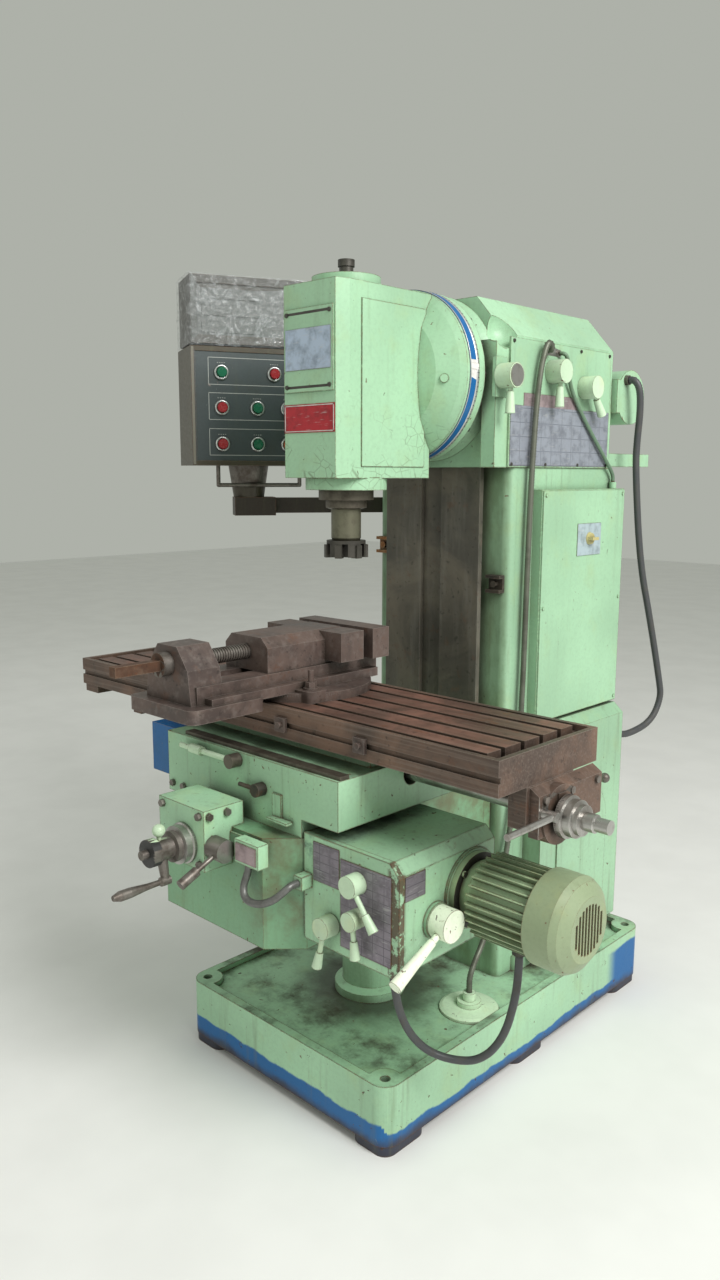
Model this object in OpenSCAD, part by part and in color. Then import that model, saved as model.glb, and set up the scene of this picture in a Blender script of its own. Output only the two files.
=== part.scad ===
// Vertical knee-type milling machine with swivelling head, power table feed, machine vise and a
// swinging control pendant. X runs along the table, Y towards the column, Z up.
// The origin is at the centre of the base's underside.

/* [Base] */
// Width of the base casting
base_w = 700; // [670:10:780]
// Depth of the base casting, front to back
base_d = 1110; // [1080:10:1250]
// Height of the base's rim above the floor
base_h = 170; // [150:5:190]
// Diameter of the four anchor bolt holes
anchor_d = 22; // [16:1:26]

/* [Column] */
// Width of the column across its side faces
column_w = 436; // [412:4:450]
// Width of the vertical ways at their front face
ways_w = 308; // [284:4:330]
// Height of the seat that carries the headstock
column_top = 1490; // [1480:5:1540]

/* [Head] */
// Distance of the spindle axis in front of the base's centre
spindle_reach = 325; // [315:5:335]
// Height of the head's swivel axis
swivel_z = 1705; // [1695:5:1715]
// Diameter of the graduated swivel ring
ring_d = 406; // [380:2:420]
// Width of the spindle head's box
head_w = 184; // [170:2:200]
// Diameter of the face mill
cutter_d = 106; // [80:2:110]
// Diameter of the spindle nose flange
nose_d = 128.57; // [118:0.01:132]

/* [Knee] */
// Height of the knee's top slideway
knee_top = 719; // [715:1:722]
// Height of the knee's underside
knee_bottom = 470; // [455:5:480]
// Distance of the knee's front face in front of the base's centre
knee_reach = 700; // [690:2:702]

/* [Table] */
// Length of the work table
table_l = 1408; // [1300:4:1500]
// Width of the work table
table_w = 335; // [315:1:345]
// Height of the table's working face
table_z = 971; // [969:1:976]
// Width of each T-slot's throat
slot_w = 14; // [12:1:18]
// Distance between the T-slots
slot_pitch = 63; // [60:1:66]

/* [Vise] */
// Width of the vise jaws
jaw_w = 258; // [220:2:270]
// Diameter of the vise screw
vise_screw_d = 36; // [28:1:38]

/* [Feed drive] */
// Width of the feed gearbox
gearbox_w = 269; // [240:1:280]
// Outer diameter of the feed motor's fins
motor_d = 178; // [150:2:190]

/* [Pendant] */
// Width of the pushbutton panel
panel_w = 342; // [320:2:350]
// Height of the pushbutton panel
panel_h = 305; // [295:5:310]
// Diameter of the push buttons
button_d = 27; // [22:1:30]

/* [Hidden] */
$fn = 48;
// Running clearance between sliding faces
gap = 0.3;
// Overlap that makes two shapes of one solid join
join = 1;

paint = "#9cd6a6";
blue_paint = "#1f69a8";
iron = "#57493f";
steel = "#8c8c88";
dark = "#3a332c";
rubber = "#2c2d30";
plate_grey = "#9aa3b5";

// Base
tray_z = base_h - 14;
rim = 24;
foot_h = 24;
anchor_x = base_w / 2 - 34;
anchor_y = base_d / 2 - 34;
// Column and ways
side_x = column_w / 2;
column_front = 23;
column_back = 520;
ways_front = -15;
ways_bottom = 330;
// Cabinet and tank block on the column's right side
cab_y0 = 123;
cab_y1 = 527;
cab_z0 = 836;
cab_z1 = 1436;
cab_x = side_x + 25;
door_t = 4;
tank_x = 273;
tank_z0 = tray_z + 40;
tank_z1 = 803;
// Headstock
head_front = -91.5;
head_back = 480;
shoulder_z = 1800;
stock_top = 1892;
// Spindle head
spindle_y = -spindle_reach;
head_z0 = 1464;
head_z1 = 1886;
head_y0 = spindle_y - 116;
head_y1 = spindle_y + 189;
ring_y0 = -124;
ring_y1 = -92;
nose_z = 1414;
// Knee
knee_x0 = -238;
knee_x1 = 190;
knee_y = -knee_reach;
knee_back = ways_front - gap;
// Crank box on the knee's front
crank_x = -45;
crank_z = 686;
crank_box_y = knee_y - 75;
// Feed gearbox on the knee's right side
gear_x1 = knee_x1 + gearbox_w;
gear_y0 = -642;
gear_y1 = -330;
gear_z0 = 503;
gear_z1 = 733;
// Axis of the long lever on the gearbox's side
long_y = -528;
long_z = 590;
motor_y = -412;
motor_z = 622;
fan_x = gear_x1 + 200;
// Saddle
saddle_x0 = -288;
saddle_x1 = 292;
saddle_y0 = -642;
saddle_y1 = -240;
saddle_top = 866;
// Table
table_t = 70;
table_x = -63;
table_y = -417;
table_x0 = table_x - table_l / 2;
table_x1 = table_x + table_l / 2;
table_y0 = table_y - table_w / 2;
table_y1 = table_y + table_w / 2;
table_under = table_z - table_t;
screw_y = table_y;
screw_z = 836;
// Vise
vise_x = -70;
vise_y0 = -815;
vise_y1 = -232;
vise_z = 1078;
vise_bed = 1036;
// Pendant
arm_x = -262;
arm_y = 160;
arm_z = 1388;
pendant_x = -505;
pendant_y = -200;
pendant_turn = 65;
panel_z = 1495;
panel_depth = 165;
readout_h = 170;
// Rows and columns of the controls, measured from the panel's left edge and its foot
column_at = [81, 177, 261];
row_at = [240, 150, 56];

module box(x0, x1, y0, y1, z0, z1) {
    translate([x0, y0, z0])
        cube([x1 - x0, y1 - y0, z1 - z0]);
}

// Round bars along each axis
module bar_x(x0, x1, d, y, z) {
    translate([x0, y, z])
        rotate([0, 90, 0])
            cylinder(d = d, h = x1 - x0);
}

module bar_y(y0, y1, d, x, z) {
    translate([x, y1, z])
        rotate([90, 0, 0])
            cylinder(d = d, h = y1 - y0);
}

module bar_z(z0, z1, d, x, y) {
    translate([x, y, z0])
        cylinder(d = d, h = z1 - z0);
}

// Rectangle with round corners, centred
module rounded(w, d, r) {
    square([w - 2 * r, d], center = true);
    square([w, d - 2 * r], center = true);
    for (x = [-1, 1], y = [-1, 1])
        translate([x * (w / 2 - r), y * (d / 2 - r)])
            circle(r = r);
}

// Upright block with round corners between two corner points
module round_block(x0, x1, y0, y1, z0, z1, r) {
    translate([(x0 + x1) / 2, (y0 + y1) / 2, z0])
        linear_extrude(z1 - z0)
            rounded(x1 - x0, y1 - y0, r);
}

// Hexagon screw head of a given size across its corners, its axis along Z
module hex_head(d, h) {
    cylinder(d = d, h = h, $fn = 6);
}

// A solid of revolution along Z from pairs of radius and height
module turned(profile) {
    rotate_extrude()
        polygon(concat([[0, profile[0][1]]], profile, [[0, profile[len(profile) - 1][1]]]));
}

// Threaded bar drawn as a row of ridges, its axis along Z
module ridged_bar(d, h, pitch) {
    turns = floor(h / pitch);
    cylinder(d = d - 4, h = h);
    for (i = [0 : turns - 1])
        translate([0, 0, i * pitch])
            cylinder(d = d, h = pitch / 2);
}

// Lever that hangs from a round hub: the hub's axis along Z, the arm along -Y
module knob_lever(hub_d, hub_h, arm_l, grip_d, grip_l) {
    rod_d = grip_d * 0.5;
    cylinder(d = hub_d, h = hub_h);
    translate([0, 0, hub_h * 0.6])
        rotate([90, 0, 0]) {
            cylinder(d = rod_d, h = arm_l - 5);
            translate([0, 0, arm_l - grip_l])
                cylinder(d1 = grip_d * 0.7, d2 = grip_d, h = grip_l);
        }
}

// Cord: a tube of one thickness through a list of points, closed at both ends
function unit(v) = v / norm(v);
function direction(p, i) =
    i == 0 ? unit(p[1] - p[0]) :
    i == len(p) - 1 ? unit(p[i] - p[i - 1]) : unit(unit(p[i + 1] - p[i]) + unit(p[i] - p[i - 1]));
function across(t) = unit(cross(t, abs(t[2]) < 0.8 ? [0, 0, 1] : [1, 0, 0]));
// The frame is carried from ring to ring, so that the tube doesn't twist
function carried(p, i, side) =
    let (t = direction(p, i), s = unit(side - t * (side * t)))
    i == len(p) - 1 ? [s] : concat([s], carried(p, i + 1, s));
// Rounds a route by cutting its corners
function cut_corners(p) = concat([p[0]],
    [for (i = [0 : len(p) - 2]) each [p[i] * 0.75 + p[i + 1] * 0.25, p[i] * 0.25 + p[i + 1] * 0.75]],
    [p[len(p) - 1]]);

module tube_along(route, d, sides = 8) {
    p = cut_corners(route);
    side = carried(p, 0, across(direction(p, 0)));
    n = len(p);
    rings = [for (i = [0 : n - 1], k = [0 : sides - 1])
        let (t = direction(p, i), u = side[i], v = cross(t, u), a = 360 * k / sides)
        p[i] + (u * cos(a) + v * sin(a)) * d / 2];
    walls = [for (i = [0 : n - 2], k = [0 : sides - 1])
        let (a = i * sides + k, b = i * sides + (k + 1) % sides)
        [a, a + sides, b + sides, b]];
    first = [for (k = [0 : sides - 1]) k];
    last = [for (k = [sides - 1 : -1 : 0]) (n - 1) * sides + k];
    polyhedron(rings, concat([first], walls, [last]));
}

// Routes of the conduits and hoses, from gland to gland
column_route = [[side_x + 12, 150, 1775], [side_x + 22, 150, 1775], [side_x + 26, 142, 1788],
    [side_x + 26, 120, 1790], [side_x + 20, 98, 1700], [side_x + 18, 84, 1480],
    [side_x + 18, 78, 1200], [side_x + 18, 74, 900], [side_x + 18, 60, 700],
    [side_x + 18, 20, 480], [side_x + 24, -60, 320], [255, -145, 250], [255, -145, 200]];
rear_route = [[246, 525, 1728], [262, 525, 1728], [276, 530, 1704], [274, 540, 1640],
    [264, 548, 1560], [262, 552, 1487], [268, 590, 1232], [275, 660, 1050], [280, 724, 868], [280, 742, 810],
    [272, 700, 742], [255, 600, 720], [245, 560, 726], [245, 527, 726]];
cable_route = [[side_x + 8, 205, 1772], [side_x + 20, 205, 1772], [side_x + 26, 212, 1766],
    [side_x + 24, 225, 1740], [side_x + 14, 250, 1690], [side_x + 13, 330, 1610],
    [side_x + 16, 440, 1510], [side_x + 12, 487, 1474], [side_x + 12, 487, 1454]];
feed_route = [[370, -560, 503], [370, -560, 440], [378, -540, 340], [402, -500, 270],
    [450, -460, 246], [505, -430, 256], [550, -414, 320], [575, -412, 420], [580, -412, 490],
    [580, -412, 518]];
switch_route = [[98, -716, 664], [98, -716, 645], [90, -726, 610], [106, -734, 588],
    [146, -732, 588], [184, -722, 606], [203, -700, 632], [203, -690, 635], [203, -672, 635]];
column_hose_d = 16;
rear_hose_d = 20;
feed_hose_d = 17;
switch_hose_d = 17;
cable_d = 10;

module base() {
    color(paint)
        difference() {
            union() {
                translate([0, 0, foot_h])
                    linear_extrude(base_h - foot_h)
                        rounded(base_w, base_d, 42);
                for (x = [-1, 1], y = [-1, 0, 1])
                    translate([x * (base_w / 2 - 60), y * (base_d / 2 - 75), 0])
                        linear_extrude(foot_h + join)
                            rounded(110, 140, 30);
            }
            difference() {
                translate([0, 0, tray_z])
                    linear_extrude(base_h)
                        rounded(base_w - 2 * rim, base_d - 2 * rim, 30);
                for (x = [-1, 1], y = [-1, 1])
                    translate([x * anchor_x, y * anchor_y, 0])
                        cylinder(d = 78, h = base_h);
            }
            for (x = [-1, 1], y = [-1, 1])
                translate([x * anchor_x, y * anchor_y, -1])
                    cylinder(d = anchor_d, h = base_h + 2);
            // Bore in which the elevating screw's tube stands
            bar_z(foot_h + 40, base_h, 150, 0, -235);
        }
    // Cover through which the cables enter the base
    color(paint)
        translate([255, -145, tray_z])
            turned([[74, 0], [74, 5], [66, 9], [30, 12], [30, 24], [16, 24], [16, 44]]);
}

// The column is a hollow casting with a window behind the electrical cabinet
module column() {
    wall = 22;
    color(paint)
        difference() {
            union() {
                round_block(-side_x, side_x, column_front, column_back, tray_z, column_top, 24);
                round_block(-side_x - 18, side_x + 18, column_front + 60, column_back + 10, tray_z,
                    tray_z + 40, 24);
            }
            box(-side_x + wall, side_x - wall, column_front + 40, column_back - wall,
                tray_z + 60, column_top - 30);
            box(side_x - wall - 1, side_x + 1, cab_y0 + 40, cab_y1 - 60, cab_z0 + 40, cab_z1 - 40);
            box(-90, 90, column_back - wall - 1, column_back + 1, 500, 1100);
        }
    // Cover of the service window at the back
    color(paint)
        box(-105, 105, column_back, column_back + 5, 485, 1115);
}

module column_ways() {
    half = ways_w / 2;
    neck = half - 22;
    color(iron)
        translate([0, 0, ways_bottom])
            linear_extrude(column_top - ways_bottom)
                difference() {
                    polygon([[-half, ways_front], [half, ways_front], [half, ways_front + 14],
                        [neck, column_front], [-neck, column_front], [-half, ways_front + 14]]);
                    translate([-34, ways_front - 1])
                        square([68, 13]);
                }
}

module headstock() {
    color(paint)
        difference() {
            union() {
                translate([0, head_back, 0])
                    rotate([90, 0, 0])
                        linear_extrude(head_back + 20)
                            polygon([[-side_x, column_top], [side_x, column_top],
                                [side_x, shoulder_z], [side_x - 82, stock_top],
                                [-side_x + 82, stock_top], [-side_x, shoulder_z]]);
                // Neck that narrows towards the swivel flange, with pockets at its corners
                translate([0, 0, swivel_z])
                    rotate([90, 0, 0])
                        translate([0, 0, 19])
                            cylinder(d1 = 400, d2 = ring_d - 70, h = 52);
                box(-side_x, side_x, -48, -19, swivel_z - 55, swivel_z + 80);
                box(-side_x, -side_x + 40, -48, -19, column_top, stock_top - 150);
                box(side_x - 40, side_x, -48, -19, column_top, stock_top - 150);
                bar_y(head_front, -70, ring_d, 0, swivel_z);
                // Flat lug at the rear
                box(100, 205, head_back - join, head_back + 250, 1496, 1532);
            }
            // Bearing for the head's swivel trunnion
            bar_y(head_front - 1, 60, 200.1, 0, swivel_z);
            box(-side_x + 24, side_x - 24, 90, head_back - 24, column_top + 24, shoulder_z - 20);
            for (x = [-1, 1])
                translate([x * (side_x - 2), -14, shoulder_z + 14])
                    sphere(r = 48);
        }
    // Clamping bolts on the flange
    color(dark)
        for (a = [10 : 20 : 350])
            translate([(ring_d / 2 - 9) * sin(a), -70, swivel_z + (ring_d / 2 - 9) * cos(a)])
                rotate([-90, 0, 0])
                    hex_head(14, 9);
}

module headstock_cover() {
    t = 5;
    color(paint)
        box(side_x, side_x + t, 2, 462, column_top + 1, shoulder_z - 6);
    color(plate_grey) {
        box(side_x + t, side_x + t + 1.5, 6, 458, column_top + 4, 1638);
        box(side_x + t, side_x + t + 1.5, 60, 300, 1638, 1668);
    }
    color(paint)
        translate([side_x, -62, 1652])
            cube([10, 44, 92]);
    // Glands of the column conduit and of the cabinet cable
    color(steel) {
        bar_x(side_x + t - join, side_x + 12, 22, 150, 1775);
        bar_x(side_x + t - join, side_x + 8, 18, 205, 1772);
    }
    color(steel)
        for (y = [14, 160, 310, 452], z = [column_top + 8, shoulder_z - 14])
            bar_x(side_x + t, side_x + t + 3, 8, y, z);
}

// Open frame whose back is the column's wall
module cabinet() {
    color(paint)
        difference() {
            box(side_x, cab_x, cab_y0, cab_y1, cab_z0, cab_z1);
            box(side_x - 1, cab_x + 1, cab_y0 + 22, cab_y1 - 22, cab_z0 + 22, cab_z1 - 22);
        }
    // Cable gland on top
    color(steel)
        bar_z(cab_z1, cab_z1 + 18, 20, side_x + 12, cab_y1 - 40);
}

module cabinet_door() {
    color(paint)
        difference() {
            box(cab_x, cab_x + door_t, cab_y0 + 3, cab_y1 - 3, cab_z0 + 3, cab_z1 - 3);
            bar_x(cab_x - 1, cab_x + door_t + 1, 16.4, 345, 1306);
        }
    color(plate_grey)
        difference() {
            box(cab_x + door_t, cab_x + door_t + 2, 287, 403, 1262, 1346);
            bar_x(cab_x + door_t - 1, cab_x + door_t + 3, 16.4, 345, 1306);
        }
    color(dark)
        for (y = [cab_y0 + 14, cab_y1 - 14], z = [cab_z0 + 14, (cab_z0 + cab_z1) / 2, cab_z1 - 14])
            bar_x(cab_x + door_t, cab_x + door_t + 3, 9, y, z);
}

// Closed lower block with a sloping lid, a level knob and a gland for the rear conduit
module tank_block() {
    lid = 26;
    door_w = 250;
    color(paint) {
        translate([side_x, cab_y1, 0])
            rotate([90, 0, 0])
                linear_extrude(cab_y1 - cab_y0)
                    polygon([[0, tank_z0], [tank_x - side_x, tank_z0], [tank_x - side_x, tank_z1],
                        [lid, tank_z1 + lid], [0, tank_z1 + lid]]);
        // Round-topped access plate
        translate([tank_x - join, 200, 270])
            rotate([90, 0, 90])
                linear_extrude(join + 4) {
                    square([door_w, 240]);
                    translate([door_w / 2, 240])
                        circle(d = door_w);
                }
    }
    color(steel) {
        bar_x(tank_x, tank_x + 14, 9, 399, 641);
        translate([tank_x + 24, 399, 641])
            sphere(d = 28);
    }
}

// Spindle motor behind the headstock
module main_motor() {
    color(paint) {
        bar_y(head_back, head_back + 26, 250, 30, 1700);
        translate([30, head_back + 25, 1700])
            rotate([-90, 0, 0])
                turned([[112, 0], [112, 100], [104, 128], [84, 148], [52, 162], [20, 168]]);
    }
    // Round pulley guard at the headstock's rear corner, with the gland of the rear conduit
    color(paint) {
        box(150, 236, head_back, head_back + 70, 1640, 1728);
        bar_x(150, 236, 146, head_back + 75, 1684);
    }
    color(steel)
        bar_x(235, 246, 26, head_back + 45, 1728);
}

// Telescopic tube that takes the elevating screw, bolted into the base
module screw_tube() {
    color(paint)
        translate([0, -235, 0])
            difference() {
                turned([[74.9, foot_h + 41], [74.9, tray_z], [92, tray_z], [92, tray_z + 20],
                    [72, tray_z + 30], [72, 262], [52, 274], [52, 380]]);
                translate([0, 0, foot_h + 60])
                    cylinder(d = 76, h = 400);
            }
}

// Trip bracket clamped to one edge of the column
module trip_bracket() {
    y = column_front;
    box(-21, 21, y - 7, y, -22, 22);
    for (z = [-22, 14])
        box(-21, 21, y - 22, y - 6, z, z + 8);
    bar_y(y - 18, y - 6, 16, 0, 0);
}

// Bracket whose pin carries the pendant's arm, and two trip brackets
module column_brackets() {
    ear = 26;
    color(dark)
        union() {
            box(-side_x - 12, -side_x, arm_y - 50, arm_y + 50, arm_z - 70, arm_z + 70);
            for (z = [arm_z - 58, arm_z + 32]) {
                box(arm_x, -side_x - 11, arm_y - ear, arm_y + ear, z, z + ear);
                bar_z(z, z + ear, 2 * ear, arm_x, arm_y);
            }
            bar_z(arm_z - 64, arm_z + 64, 23.9, arm_x, arm_y);
        }
    color(iron)
        for (p = [[-1, 1284], [1, 1205]])
            translate([p[0] * (side_x - 32), 0, p[1]])
                trip_bracket();
}

module column_conduit() {
    color(steel)
        tube_along(column_route, column_hose_d);
}

module rear_conduit() {
    color(rubber)
        tube_along(rear_route, rear_hose_d);
}

module cabinet_cable() {
    color(rubber)
        tube_along(cable_route, cable_d);
}

// Speed levers on the headstock's side
module speed_lever(y, z, turn) {
    color(paint)
        translate([side_x + (y < 0 ? 10 : 5) + gap, y, z])
            rotate([0, 90, 0])
                rotate([0, 0, 90 + turn])
                    knob_lever(58, 44, 86, 24, 50);
}

module speed_lever_front() {
    speed_lever(-40, 1700, 0);
    color(plate_grey)
        bar_x(side_x + 54, side_x + 56, 50, -40, 1700);
}

module speed_lever_middle() {
    speed_lever(176, 1725, 0);
}

module speed_lever_rear() {
    speed_lever(328, 1696, 38);
}

module cabinet_knob() {
    color("#c9c48a")
        translate([cab_x - 14, 345, 1306])
            rotate([0, 90, 0]) {
                cylinder(d = 16, h = 24);
                translate([0, 0, 14 + door_t + 2 + gap])
                    cylinder(d1 = 34, d2 = 28, h = 8);
                translate([-4, -15, 14 + door_t + 2 + gap])
                    cube([8, 30, 20]);
            }
}

module head_housing() {
    half = head_w / 2;
    color(paint) {
        difference() {
            union() {
                translate([0, 0, head_z0])
                    linear_extrude(head_z1 - head_z0)
                        polygon([[-half + 10, head_y0], [half - 10, head_y0], [half, head_y0 + 34],
                            [half, head_y1], [-half, head_y1], [-half, head_y0 + 34]]);
                // Low round cover around the drawbar
                bar_z(head_z1 - 1, head_z1 + 22, 156, 0, spindle_y);
                // Boss around the spindle
                bar_z(head_z0 - 27, head_z0 + 1, 189, 0, spindle_y);
                // Domed flange that carries the swivel ring
                translate([0, ring_y0, swivel_z])
                    rotate([90, 0, 0])
                        turned([[ring_d / 2 - 2, 0], [ring_d / 2 - 2, 8], [ring_d / 2 - 16, 20],
                            [140, 50], [60, 70]]);
                // Trunnion in the headstock's bearing
                bar_y(ring_y0 - 1, 50, 200, 0, swivel_z);
            }
            bar_z(head_z0 - 28, head_z1 + 23, 90.1, 0, spindle_y);
        }
        // Raised panel on each side
        for (s = [-1, 1])
            translate([s * half - 3, 0, 0])
                box(0, 6, head_y0 + 70, head_y1 - 22, head_z0 + 26, head_z1 - 36);
    }
    // Oil plug
    color(dark)
        translate([ring_d / 2 - 46, ring_y0 - 39, swivel_z - 14])
            rotate([90, 0, 33])
                cylinder(d = 20, h = 10, center = true);
}

// Front access cover with its screws and two blank plates
module head_cover() {
    half = head_w / 2;
    color(paint)
        box(-half + 14, half - 14, head_y0 - 4, head_y0, 1652, 1832);
    color(plate_grey)
        box(-half + 20, half - 20, head_y0 - 5.5, head_y0 - 4, 1700, 1788);
    color("#a02a35")
        box(-half + 11, half - 11, head_y0 - 1.5, head_y0, 1564, 1626);
    color(dark)
        for (x = [-1, 1], z = [1664, 1820])
            bar_y(head_y0 - 7, head_y0 - 4, 9, x * (half - 24), z);
}

module graduated_ring() {
    color(blue_paint)
        difference() {
            bar_y(ring_y0, ring_y1, ring_d, 0, swivel_z);
            bar_y(ring_y0 - 1, ring_y1 + 1, 200.1, 0, swivel_z);
        }
    // Zero mark
    color("white")
        translate([0, 0, swivel_z])
            rotate([0, 86, 0])
                translate([-7, ring_y0 + 2, ring_d / 2 - 1])
                    cube([14, ring_y1 - ring_y0 - 4, 2]);
}

module spindle() {
    color(steel)
        difference() {
            translate([0, spindle_y, 0])
                turned([[nose_d / 2, nose_z], [nose_d / 2, 1436], [45, 1436.5], [45, 1890], [30, 1890],
                    [30, 1908], [16, 1908], [16, 1932], [19, 1932], [19, 1947]]);
            translate([0, spindle_y, nose_z - 1])
                cylinder(d1 = 70, d2 = 40, h = 100);
        }
}

module arbor() {
    color(iron)
        translate([0, spindle_y, 0])
            turned([[32, 1320], [35, 1326], [35, 1392], [48, 1396], [48, nose_z - 0.5], [34, nose_z - 0.5],
                [20.5, nose_z + 90]]);
}

module face_mill() {
    blades = 6;
    body_d = cutter_d - 14;
    color(dark)
        translate([0, spindle_y, 1282]) {
            difference() {
                cylinder(d = body_d, h = 38);
                for (i = [0 : blades - 1])
                    rotate([0, 0, i * 360 / blades])
                        translate([body_d / 2 - 14, 2, -1])
                            cube([30, 14, 32]);
            }
            for (i = [0 : blades - 1])
                rotate([0, 0, i * 360 / blades])
                    translate([body_d / 2 - 16, -14, -2])
                        cube([20, 16, 30]);
        }
}

module knee() {
    half = ways_w / 2;
    cham = 66;
    color(paint)
        difference() {
            union() {
                translate([0, 0, knee_bottom])
                    linear_extrude(knee_top - knee_bottom)
                        polygon([[knee_x0, knee_y + 14], [knee_x0 + 14, knee_y],
                            [knee_x1 - cham, knee_y], [knee_x1, knee_y + cham],
                            [knee_x1, knee_back], [knee_x0, knee_back]]);
                // Cheeks beside the column's ways
                for (s = [-1, 1])
                    translate([s * (half + 4), knee_back - 1, 380])
                        translate([s > 0 ? gap : -26 - gap, 0, 0])
                            cube([26, 36, knee_top - 380 + 90]);
                box(-half - 4 - gap - 26, half + 4 + gap + 26, knee_back - 70, knee_back, 380,
                    knee_top - 1);
                box(-half - 4 - gap - 26, half + 4 + gap + 26, knee_back - 20, knee_back, 480,
                    knee_top + 90);
            }
            bar_z(300, knee_top - 40, 66.1, 0, -235);
            // Channel for the cross screw and the saddle's nut
            box(crank_x - 22, crank_x + 22, knee_y - 1, -60, 660, knee_top + 1);
        }
}

module crank_box() {
    color(paint) {
        difference() {
            union() {
                box(-137, 24, crank_box_y, knee_y, 636, 771);
                box(-137, 24, knee_y - 1, knee_y + 32, knee_top + gap, 771);
            }
            bar_y(crank_box_y - 1, knee_y + 33, 24.1, crank_x, crank_z);
            bar_x(-20, 25, 20.1, -751, 688);
        }
        // Limit switch on its bracket
        box(23, 124, knee_y - 6, knee_y, 672, 710);
        box(74, 150, knee_y - 34, knee_y - 5, 664, 716);
    }
    color("#a98678")
        box(80, 144, knee_y - 37, knee_y - 34, 671, 709);
    color(steel) {
        for (x = [-122, 9], z = [650, 757])
            translate([x, crank_box_y, z])
                rotate([90, 0, 0])
                    hex_head(17, 8);
        for (y = [-762, -714], z = [757])
            translate([24, y, z])
                rotate([0, 90, 0])
                    hex_head(17, 8);
    }
}

module feed_gearbox() {
    cut = 24;
    color(paint)
        difference() {
            union() {
                translate([0, gear_y1, 0])
                    rotate([90, 0, 0])
                        linear_extrude(gear_y1 - gear_y0 - 12)
                            polygon([[knee_x1, gear_z0], [gear_x1 - 6, gear_z0],
                                [gear_x1 - 6, gear_z1 - cut], [gear_x1 - 6 - cut, gear_z1],
                                [knee_x1, gear_z1]]);
                // Front cover, a little larger than the box
                translate([0, gear_y0 + 14, 0])
                    rotate([90, 0, 0])
                        linear_extrude(14)
                            polygon([[knee_x1 + 1, gear_z0 - 3], [gear_x1, gear_z0 - 3],
                                [gear_x1, gear_z1 - cut], [gear_x1 - cut, gear_z1 + 3],
                                [knee_x1 + 1, gear_z1 + 3]]);
                // Round pads for the motor and for the long lever
                bar_x(gear_x1 - 20, gear_x1, 172, motor_y, motor_z);
                bar_x(gear_x1 - 20, gear_x1 + 4, 74, long_y, long_z);
                // Gland of the switch hose
                box(knee_x1 + 1, knee_x1 + 25, gear_y0 - 30, gear_y0 + 1, 620, 650);
            }
            for (h = feed_hubs)
                bar_y(gear_y0 - 1, gear_y0 + 30, 16.1, h[0], h[1]);
            bar_x(gear_x1 - 30, gear_x1 + 5, 24.1, long_y, long_z);
        }
    color("#7d7480")
        difference() {
            union() {
                box(knee_x1 + 30, knee_x1 + 106, gear_y0 - 1.5, gear_y0, 640, 724);
                box(knee_x1 + 110, gear_x1 - 20, gear_y0 - 1.5, gear_y0, 520, 708);
                box(gear_x1 - 6, gear_x1 - 4.5, -620, -560, 655, 706);
            }
            for (h = feed_hubs)
                bar_y(gear_y0 - 3, gear_y0 + 1, 16.1, h[0], h[1]);
        }
}

// Centres of the three front levers
feed_hubs = [[351, 672], [275, 559], [354, 600]];

module feed_motor() {
    fins = 30;
    color(paint)
        translate([gear_x1, motor_y, motor_z])
            rotate([0, 90, 0]) {
                cylinder(d = 160, h = 14);
                translate([0, 0, 13])
                    cylinder(d1 = 126, d2 = motor_d - 24, h = 30);
                translate([0, 0, 42])
                    cylinder(d = motor_d - 22, h = 152);
                for (i = [0 : fins - 1])
                    rotate([0, 0, i * 360 / fins])
                        translate([motor_d / 2 - 16, -2, 46])
                            cube([16, 4, 140]);
                // Shaft end that carries the fan
                cylinder(d = 24, h = 244);
                for (a = [45 : 90 : 315])
                    rotate([0, 0, a])
                        translate([71, 0, 13])
                            hex_head(14, 7);
            }
    // Terminal gland below
    color(dark)
        bar_z(518, 550, 30, 580, motor_y);
}

module fan_cover() {
    cover_d = motor_d + 16;
    color("#b9b78c")
        translate([fan_x - 12, motor_y, motor_z])
            rotate([0, 90, 0])
                difference() {
                    turned([[cover_d / 2, 0], [cover_d / 2, 58], [cover_d / 2 - 8, 72],
                        [cover_d / 2 - 32, 88]]);
                    translate([0, 0, -1])
                        turned([[cover_d / 2 - 3, 0], [cover_d / 2 - 3, 58],
                            [cover_d / 2 - 11, 71], [cover_d / 2 - 35, 86]]);
                    // Grille slots
                    for (i = [-4 : 4])
                        let (half = sqrt(50 * 50 - i * i * 121))
                            translate([-half, i * 11 - 3, 80])
                                cube([2 * half, 6, 12]);
                }
    // Three clips that hold the cover on the frame
    color(dark)
        for (a = [30 : 120 : 270])
            translate([fan_x - 12, motor_y, motor_z])
                rotate([0, 90, 0])
                    rotate([0, 0, a])
                        translate([motor_d / 2 - 12, -6, 0])
                            cube([18, 12, 6]);
}

module motor_fan() {
    blades = 7;
    color(dark)
        translate([fan_x + 22, motor_y, motor_z])
            rotate([0, 90, 0])
                difference() {
                    union() {
                        cylinder(d = 44, h = 26);
                        cylinder(d = 120, h = 3);
                        for (i = [0 : blades - 1])
                            rotate([0, 0, i * 360 / blades])
                                translate([18, -1.5, 1])
                                    cube([52, 3, 22]);
                    }
                    translate([0, 0, -1])
                        cylinder(d = 24.1, h = 40);
                }
}

module feed_hose() {
    color(rubber)
        tube_along(feed_route, feed_hose_d);
}

module switch_hose() {
    color("#5a5f62")
        tube_along(switch_route, switch_hose_d);
}

// Front lever: a shaft in the gearbox, a hub and a conical grip
module feed_lever(hub, turn, arm_l, hub_d = 46) {
    color(paint)
        translate([hub[0], gear_y0, hub[1]])
            rotate([90, 0, 0]) {
                translate([0, 0, -28])
                    cylinder(d = 16, h = 30);
                translate([0, 0, 1.5 + gap])
                    rotate([0, 0, turn])
                        knob_lever(hub_d, 34, arm_l, 22, 38);
            }
}

module feed_lever_a() {
    feed_lever(feed_hubs[0], 38, 100);
}

module feed_lever_b() {
    feed_lever(feed_hubs[1], -14, 98);
}

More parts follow.
